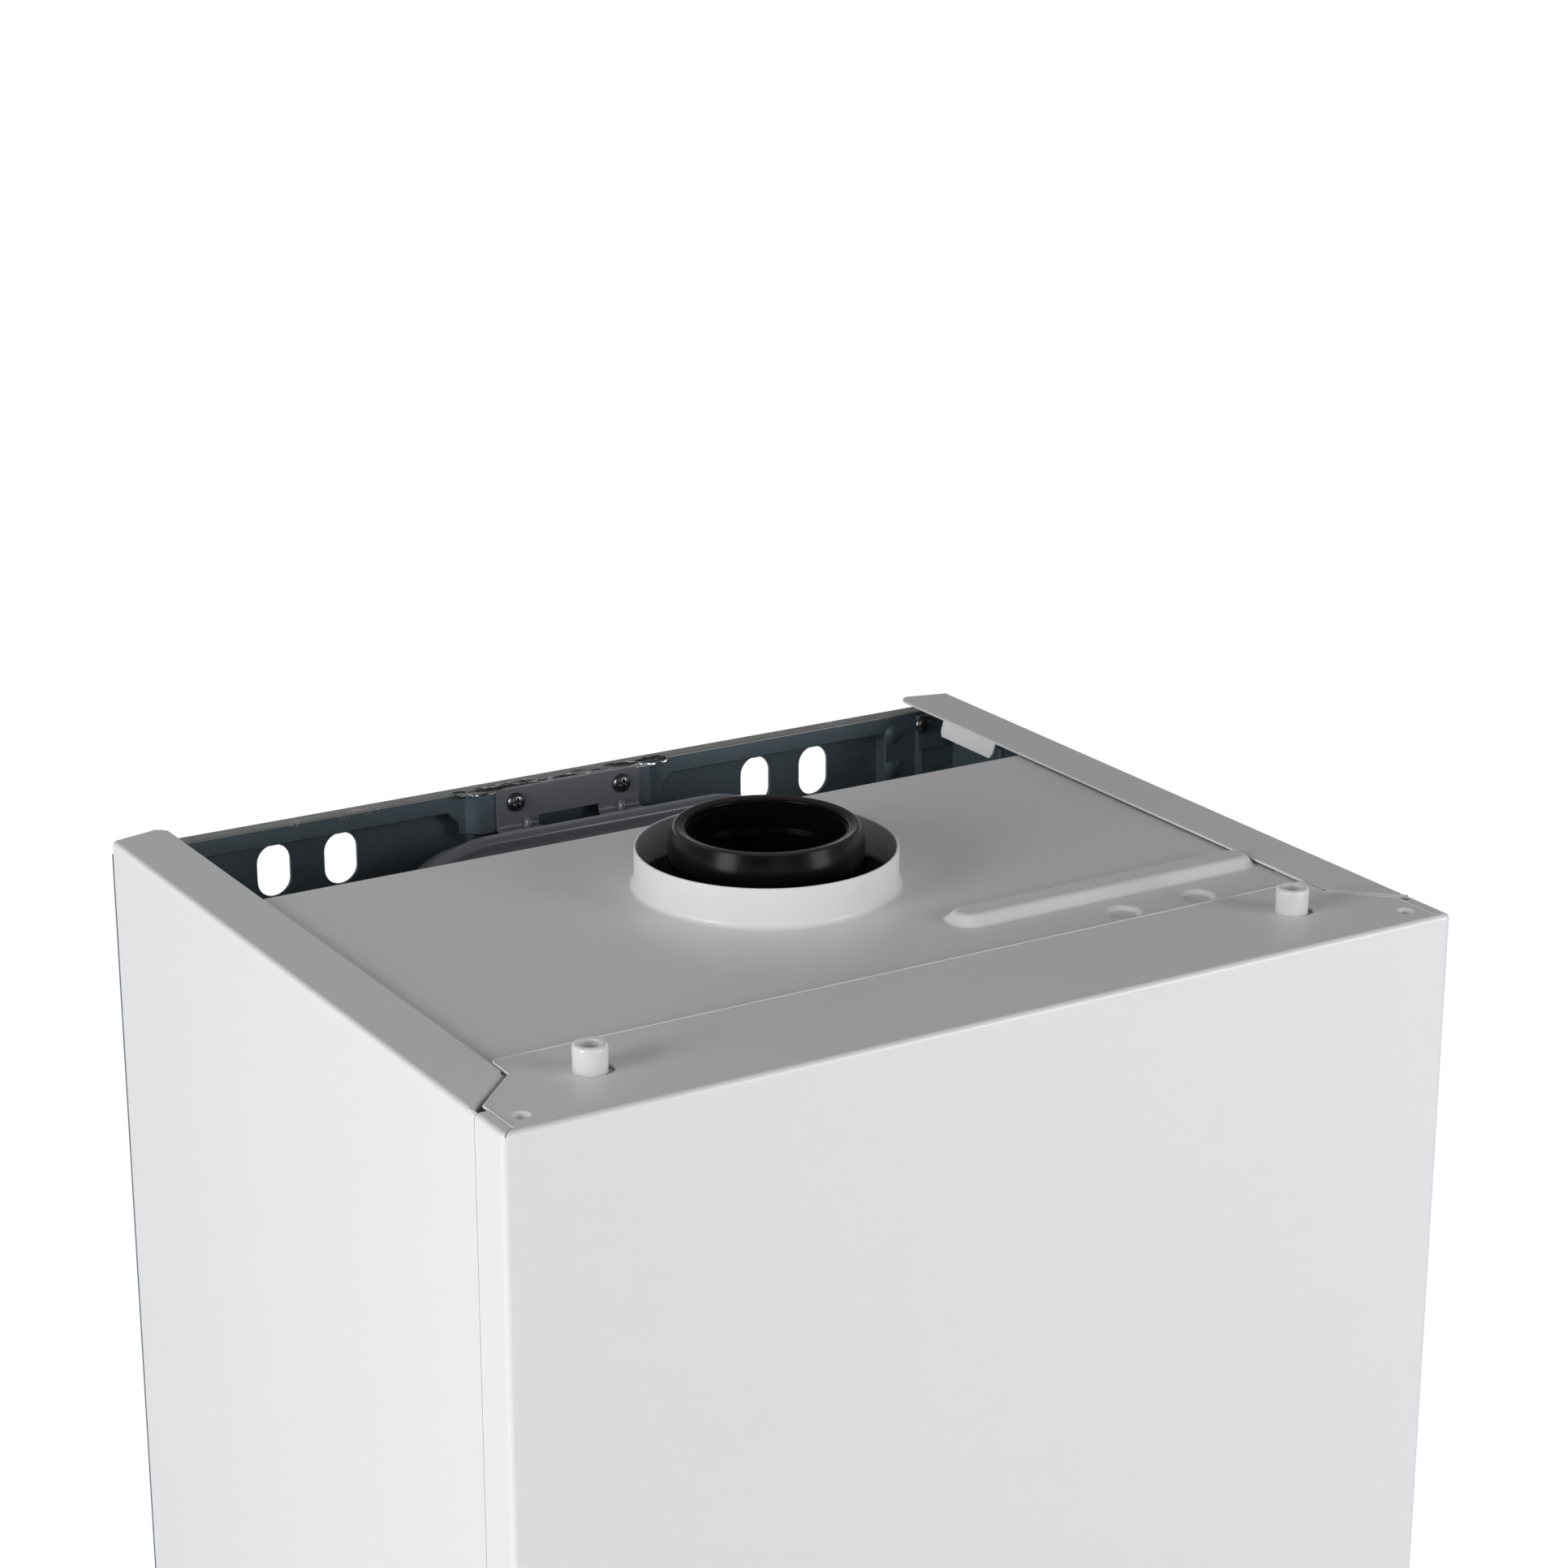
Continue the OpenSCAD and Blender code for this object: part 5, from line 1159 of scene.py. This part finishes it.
class BOILER_OT_screws(bpy.types.Operator):
    """Turns one pan-head screw with a cross recess and copies it to its places"""
    bl_idname = "boiler.screws"
    bl_label = "Screws"

    def execute(self, context):
        r = context.scene.boiler_rear.screw
        h = 2.35 * MM
        profile = [(0, 0), (r, 0), (r, -0.35 * MM), (r * 0.96, -0.9 * MM), (r * 0.84, -1.5 * MM),
                   (r * 0.64, -1.98 * MM), (r * 0.38, -2.26 * MM), (0, -h)]
        master = spun("screw", profile, (0, 0), along="Y", steps=48, closed=False)
        arm, width = r * 0.55, 0.5 * MM
        cut(master, block("arm", (-arm, -h - MM, -width), (arm, -1.1 * MM, width)),
            block("arm", (-width, -h - MM, -arm), (width, -1.1 * MM, arm)),
            rod("well", (0, -h - MM, 0), (0, -0.9 * MM, 0), 0.95 * MM, 24))
        ease_edges(master, 0.08 * MM, angle=50)
        copies = [moved_copy(master, seat) for seat in self.seats(frame["nodes"]["pan_head_screws"])]
        bpy.data.objects.remove(master)
        complete(joined("screw_heads", copies), "casing", "black_steel", "pan_head_screws", angle=40)
        return {"FINISHED"}

    def seats(self, node):
        """The middle of each screw's seat, from the corners of the CAD node that lie together."""
        near = 9 * MM
        seats = []
        for vertex in node.data.vertices:
            x, y, z = vertex.co
            for seat in seats:
                (x0, x1), (z0, z1) = seat[0], seat[2]
                if Vector((x - (x0 + x1) / 2, z - (z0 + z1) / 2)).length < near:
                    break
            else:
                seat = [(x, x), y, (z, z)]
                seats.append(seat)
            (x0, x1), back, (z0, z1) = seat
            seat[:] = (min(x0, x), max(x1, x)), max(back, y), (min(z0, z), max(z1, z))
        return [(sum(across) / 2, back, sum(up) / 2) for across, back, up in seats]


# Controls

KNOBS = ("knob_heating", "knob_water")
KNOB_TURN = 135
FLUTES = 36
MARKS = 11


def middle(node):
    """The middle of a piece in the front view."""
    low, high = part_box(node)
    return (low.x + high.x) / 2, (low.z + high.z) / 2


class BOILER_OT_knobs(bpy.types.Operator):
    """Turns the two temperature knobs, flutes their grips and marks their pointers"""
    bl_idname = "boiler.knobs"
    bl_label = "Knobs"

    def execute(self, context):
        for node in KNOBS:
            self.knob(node, context.scene.boiler_controls)
        return {"FINISHED"}

    def knob(self, node, controls):
        """One knob, from its face back to its stem."""
        x, z = middle(node)
        low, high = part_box(node)
        r, face, skirt = controls.knob, low.y, low.y + 16.7 * MM
        profile = [(0, face + 0.5 * MM)] + beside((r, face), (-5, 0.35), (-3.4, 0.1), (-2.4, 0))
        profile += arc((r - 2.4 * MM, face + 1.6 * MM), 1.6 * MM, -80, 0, 5)
        profile += beside((r, skirt), (0, -0.6), (-0.5, 0)) + beside((0, skirt), (3, 0))
        profile += beside((0, high.y), (3, 0), (0, 0))
        knob = spun("knob", profile, (x, z), along="Y", steps=96, closed=False)
        flutes = []
        for i in range(FLUTES):
            way = 2 * pi * i / FLUTES
            cx, cz = x + (r + 0.25 * MM) * cos(way), z + (r + 0.25 * MM) * sin(way)
            flutes.append(rod("flute", (cx, face + 3 * MM, cz), (cx, skirt - 3 * MM, cz),
                              controls.flute, 12))
        cut(knob, joined("flutes", flutes))
        cut(knob, block("pointer", (x - 1.1 * MM, face - 0.01 * MM, z + 5 * MM),
                        (x + 1.1 * MM, face + 1.5 * MM, z + r - 2.6 * MM)))
        ease_edges(knob, 0.15 * MM, angle=45)
        knob.name = f"{node}_grip"
        complete(knob, node, "grey_plastic", node, angle=35)


class BOILER_OT_buttons(bpy.types.Operator):
    """Rounds and dishes the two push-buttons"""
    bl_idname = "boiler.buttons"
    bl_label = "Push-buttons"

    def execute(self, context):
        edge = context.scene.boiler_controls.key_edge
        for node in ("button_mode", "button_reset"):
            key = block("key", *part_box(node))
            pick(key, "EDGE", lambda a, b: abs(a.y - b.y) > 5 * MM)
            bpy.ops.mesh.bevel(offset=2 * edge, segments=6, affect="EDGES")
            pick(key, "FACE", lambda normal: normal.y < -0.9)
            drawn(0.6 * edge, (0, 0, 0))
            drawn(0.8 * edge, (0, 0.3 * MM, 0))
            leave()
            ease_edges(key, 0.3 * edge, angle=50)
            complete(key, node, "grey_plastic", node)
            key.name = f"{node}_key"
        return {"FINISHED"}


class BOILER_OT_display(bpy.types.Operator):
    """Rounds the display's lens"""
    bl_idname = "boiler.display"
    bl_label = "Display"

    def execute(self, context):
        low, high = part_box("display")
        r = 1.2 * MM
        left, right, foot, head = low.x + r, high.x - r, low.z + r, high.z - r
        outline = []
        for i, corner in enumerate(((right, head), (left, head), (left, foot), (right, foot))):
            outline += arc(corner, r, 90 * i, 90 * i + 90, 5)
        lens = filled("display_glass", upright(outline, low.y), (0, high.y - low.y, 0))
        ease_edges(lens, 0.35 * MM, segments=3, angle=50)
        complete(lens, "control_box", "display_lens", "display")
        return {"FINISHED"}


class BOILER_OT_fascia(bpy.types.Operator):
    """Rounds the edges of the control box and marks the dials"""
    bl_idname = "boiler.fascia"
    bl_label = "Fascia"

    def execute(self, context):
        take(frame["nodes"]["control_box"])
        bpy.ops.object.duplicate()
        box = bpy.context.object
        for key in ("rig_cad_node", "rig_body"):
            del box[key]
        box.parent = None
        box.name = "control_fascia"
        edit()
        whole()
        bpy.ops.mesh.remove_doubles(threshold=0.005 * MM)
        bpy.ops.mesh.dissolve_limited(angle_limit=radians(1))
        leave()
        ease_edges(box, 0.45 * MM, segments=3, angle=60)
        complete(box, "control_box", "white_plastic", "control_box")
        marks = [mark for node in KNOBS for mark in self.marks(node, context.scene.boiler_controls)]
        complete(joined("dial_marks", marks), "control_box", "grey_plastic")
        return {"FINISHED"}

    def marks(self, node, controls):
        """Short raised marks round a knob, over its turning range, with every fifth one longer."""
        x, z = middle(node)
        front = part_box("control_box")[0].y
        near, far = controls.knob + 6.5 * MM, controls.knob + 9.5 * MM
        marks = []
        for i in range(MARKS):
            way = radians(90 - KNOB_TURN + 2 * KNOB_TURN * i / (MARKS - 1))
            mark = block("mark", (near, front - 0.12 * MM, -controls.tick / 2),
                         (far + (1.5 * MM if i % 5 == 0 else 0), front + 0.3 * MM, controls.tick / 2))
            mark.rotation_euler = (0, -way, 0)
            mark.location = (x, 0, z)
            marks.append(named("mark"))
        return marks


# Stage

# Each lamp's place, its width and height, and its power
LAMPS = {
    "lamp_left": ((-2.3, -0.65, 0.35), (0.9, 1.3), 38),
    "lamp_right": ((1.35, -2.2, 0.35), (0.9, 1.3), 28),
    "lamp_front": ((-0.6, -2.6, 0.6), (1.0, 1.2), 3),
    "lamp_back": ((0.6, 2.6, 0.4), (2.0, 1.4), 2.6),
}
AIM = Vector((0, -0.2, -0.15))
SOFT_LIGHT = 0.21
FLOOR_REACH = 9
FADE_START, FADE_END = 0.55, 0.95


class BOILER_OT_stage(bpy.types.Operator):
    """Sets up the camera, the lamps, the floor and the background"""
    bl_idname = "boiler.stage"
    bl_label = "Stage"

    def execute(self, context):
        self.camera(context.scene)
        for name, (spot, size, power) in LAMPS.items():
            settle()
            way = (AIM - Vector(spot)).to_track_quat("-Z", "Y").to_euler()
            bpy.ops.object.light_add(type="AREA", location=spot, rotation=way)
            lamp = bpy.context.object
            lamp.name = name
            lamp.data.shape = "RECTANGLE"
            lamp.data.size, lamp.data.size_y = size
            lamp.data.energy = power
        self.background(context.scene)
        self.floor(context.scene)
        context.scene.view_settings.view_transform = "Standard"
        return {"FINISHED"}

    def camera(self, scene):
        """The camera at the photograph's place and angle."""
        stage = scene.boiler_stage
        heading, pitch, roll = stage.heading, stage.pitch, stage.roll
        forward = Vector((sin(heading) * cos(pitch), cos(heading) * cos(pitch), -sin(pitch)))
        level = Vector((cos(heading), -sin(heading), 0))
        over = level.cross(forward)
        right = level * cos(roll) + over * sin(roll)
        up = over * cos(roll) - level * sin(roll)
        settle()
        bpy.ops.object.camera_add()
        camera = bpy.context.object
        camera.name = "camera"
        facing = Matrix((right, up, -forward)).transposed().to_4x4()
        camera.matrix_world = Matrix.Translation(Vector(stage.camera)) @ facing
        camera.data.sensor_width = 36
        camera.data.lens = stage.lens
        camera.data.clip_end = 50
        scene.camera = camera

    def background(self, scene):
        """A world that is white to the eye, and a white cove under a dark ceiling to reflections."""
        world = bpy.data.worlds.new("studio")
        world.use_nodes = True
        scene.world = world
        tree = world.node_tree
        path = add(tree, "LightPath").outputs
        direct = combined(tree, "MAXIMUM", path["Is Camera Ray"], path["Is Transmission Ray"])
        cove = ranged(tree, height(tree), 0, 0.3, 1, 0.1, interpolation_type="SMOOTHSTEP")
        seen = tree.nodes["Background"]
        feed(tree, seen, Color=WHITE, Strength=combined(tree, "MAXIMUM", direct, cove))
        soft = add(tree, "Background", WHITE, SOFT_LIGHT)
        either = combined(tree, "MAXIMUM", direct, path["Is Glossy Ray"])
        mix = add(tree, "MixShader", either, soft.outputs["Background"], seen.outputs["Background"])
        feed(tree, tree.nodes["World Output"], Surface=mix.outputs["Shader"])

    def floor(self, scene):
        """A pale floor that runs into the background and is seen through from below."""
        settle()
        bpy.ops.mesh.primitive_circle_add(vertices=96, radius=FLOOR_REACH, fill_type="NGON",
                                          location=(0, 0, CAD_BOX[0][2] - 0.5 * MM))
        floor = named("floor")
        tree, shader = started("floor_paper", Roughness=0.9)
        colour = scene.boiler_colours.floor
        mottle = placed(tree, "Mottle", First=shade(colour), Second=shade(colour, 0.99), Scale=2,
                        Gloss_low=0.85, Gloss_high=0.95)
        feed(tree, shader, Base_Color=mottle["Colour"])
        reach = add(tree, "VectorMath", place(tree), operation="LENGTH").outputs["Value"]
        fade = ranged(tree, reach, FADE_START, FADE_END, interpolation_type="SMOOTHSTEP")
        direct = add(tree, "LightPath").outputs["Is Camera Ray"]
        under = add(tree, "NewGeometry").outputs["Backfacing"]
        look = shader.outputs["BSDF"]
        for share, other in ((fade, add(tree, "Emission")), (under, add(tree, "BsdfTransparent"))):
            factor = combined(tree, "MULTIPLY", direct, share)
            look = add(tree, "MixShader", factor, look, other.outputs[0]).outputs["Shader"]
        feed(tree, tree.nodes["Material Output"], Surface=look)
        dress(floor, "floor_paper")


# Add-on

OPERATORS = (
    BOILER_OT_finishes, BOILER_OT_front_panel, BOILER_OT_side_panels, BOILER_OT_roof, BOILER_OT_flue_seal,
    BOILER_OT_pins, BOILER_OT_rear_beam, BOILER_OT_leaves, BOILER_OT_vessel, BOILER_OT_bracket,
    BOILER_OT_screws, BOILER_OT_fascia, BOILER_OT_knobs, BOILER_OT_buttons, BOILER_OT_display,
    BOILER_OT_stage,
)
GROUPS = {
    "boiler_casing": BOILER_PG_casing,
    "boiler_roof": BOILER_PG_roof,
    "boiler_rear": BOILER_PG_rear,
    "boiler_controls": BOILER_PG_controls,
    "boiler_colours": BOILER_PG_colours,
    "boiler_stage": BOILER_PG_stage,
}


class BOILER_PT_panel(bpy.types.Panel):
    """Lists the boiler's pieces and sizes in the sidebar"""
    bl_idname = "BOILER_PT_panel"
    bl_label = "Gas boiler"
    bl_space_type = "VIEW_3D"
    bl_region_type = "UI"
    bl_category = "Boiler"

    def draw(self, context):
        for operator in OPERATORS:
            self.layout.operator(operator.bl_idname)
        for name, group in GROUPS.items():
            box = self.layout.box()
            box.label(text=group.__doc__)
            for key in group.__annotations__:
                box.prop(getattr(context.scene, name), key)


CLASSES = (*GROUPS.values(), *OPERATORS, BOILER_PT_panel)


def register():
    """Registers the classes and hangs the settings on the scene."""
    for cls in CLASSES:
        bpy.utils.register_class(cls)
    for name, group in GROUPS.items():
        setattr(bpy.types.Scene, name, bpy.props.PointerProperty(type=group))


def unregister():
    """Takes the settings and the classes away again."""
    for name in GROUPS:
        delattr(bpy.types.Scene, name)
    for cls in reversed(CLASSES):
        bpy.utils.unregister_class(cls)


def main():
    """Registers the classes and builds every piece in order."""
    register()
    for operator in OPERATORS:
        family, name = operator.bl_idname.split(".")
        getattr(getattr(bpy.ops, family), name)()


if __name__ == "__main__":
    main()
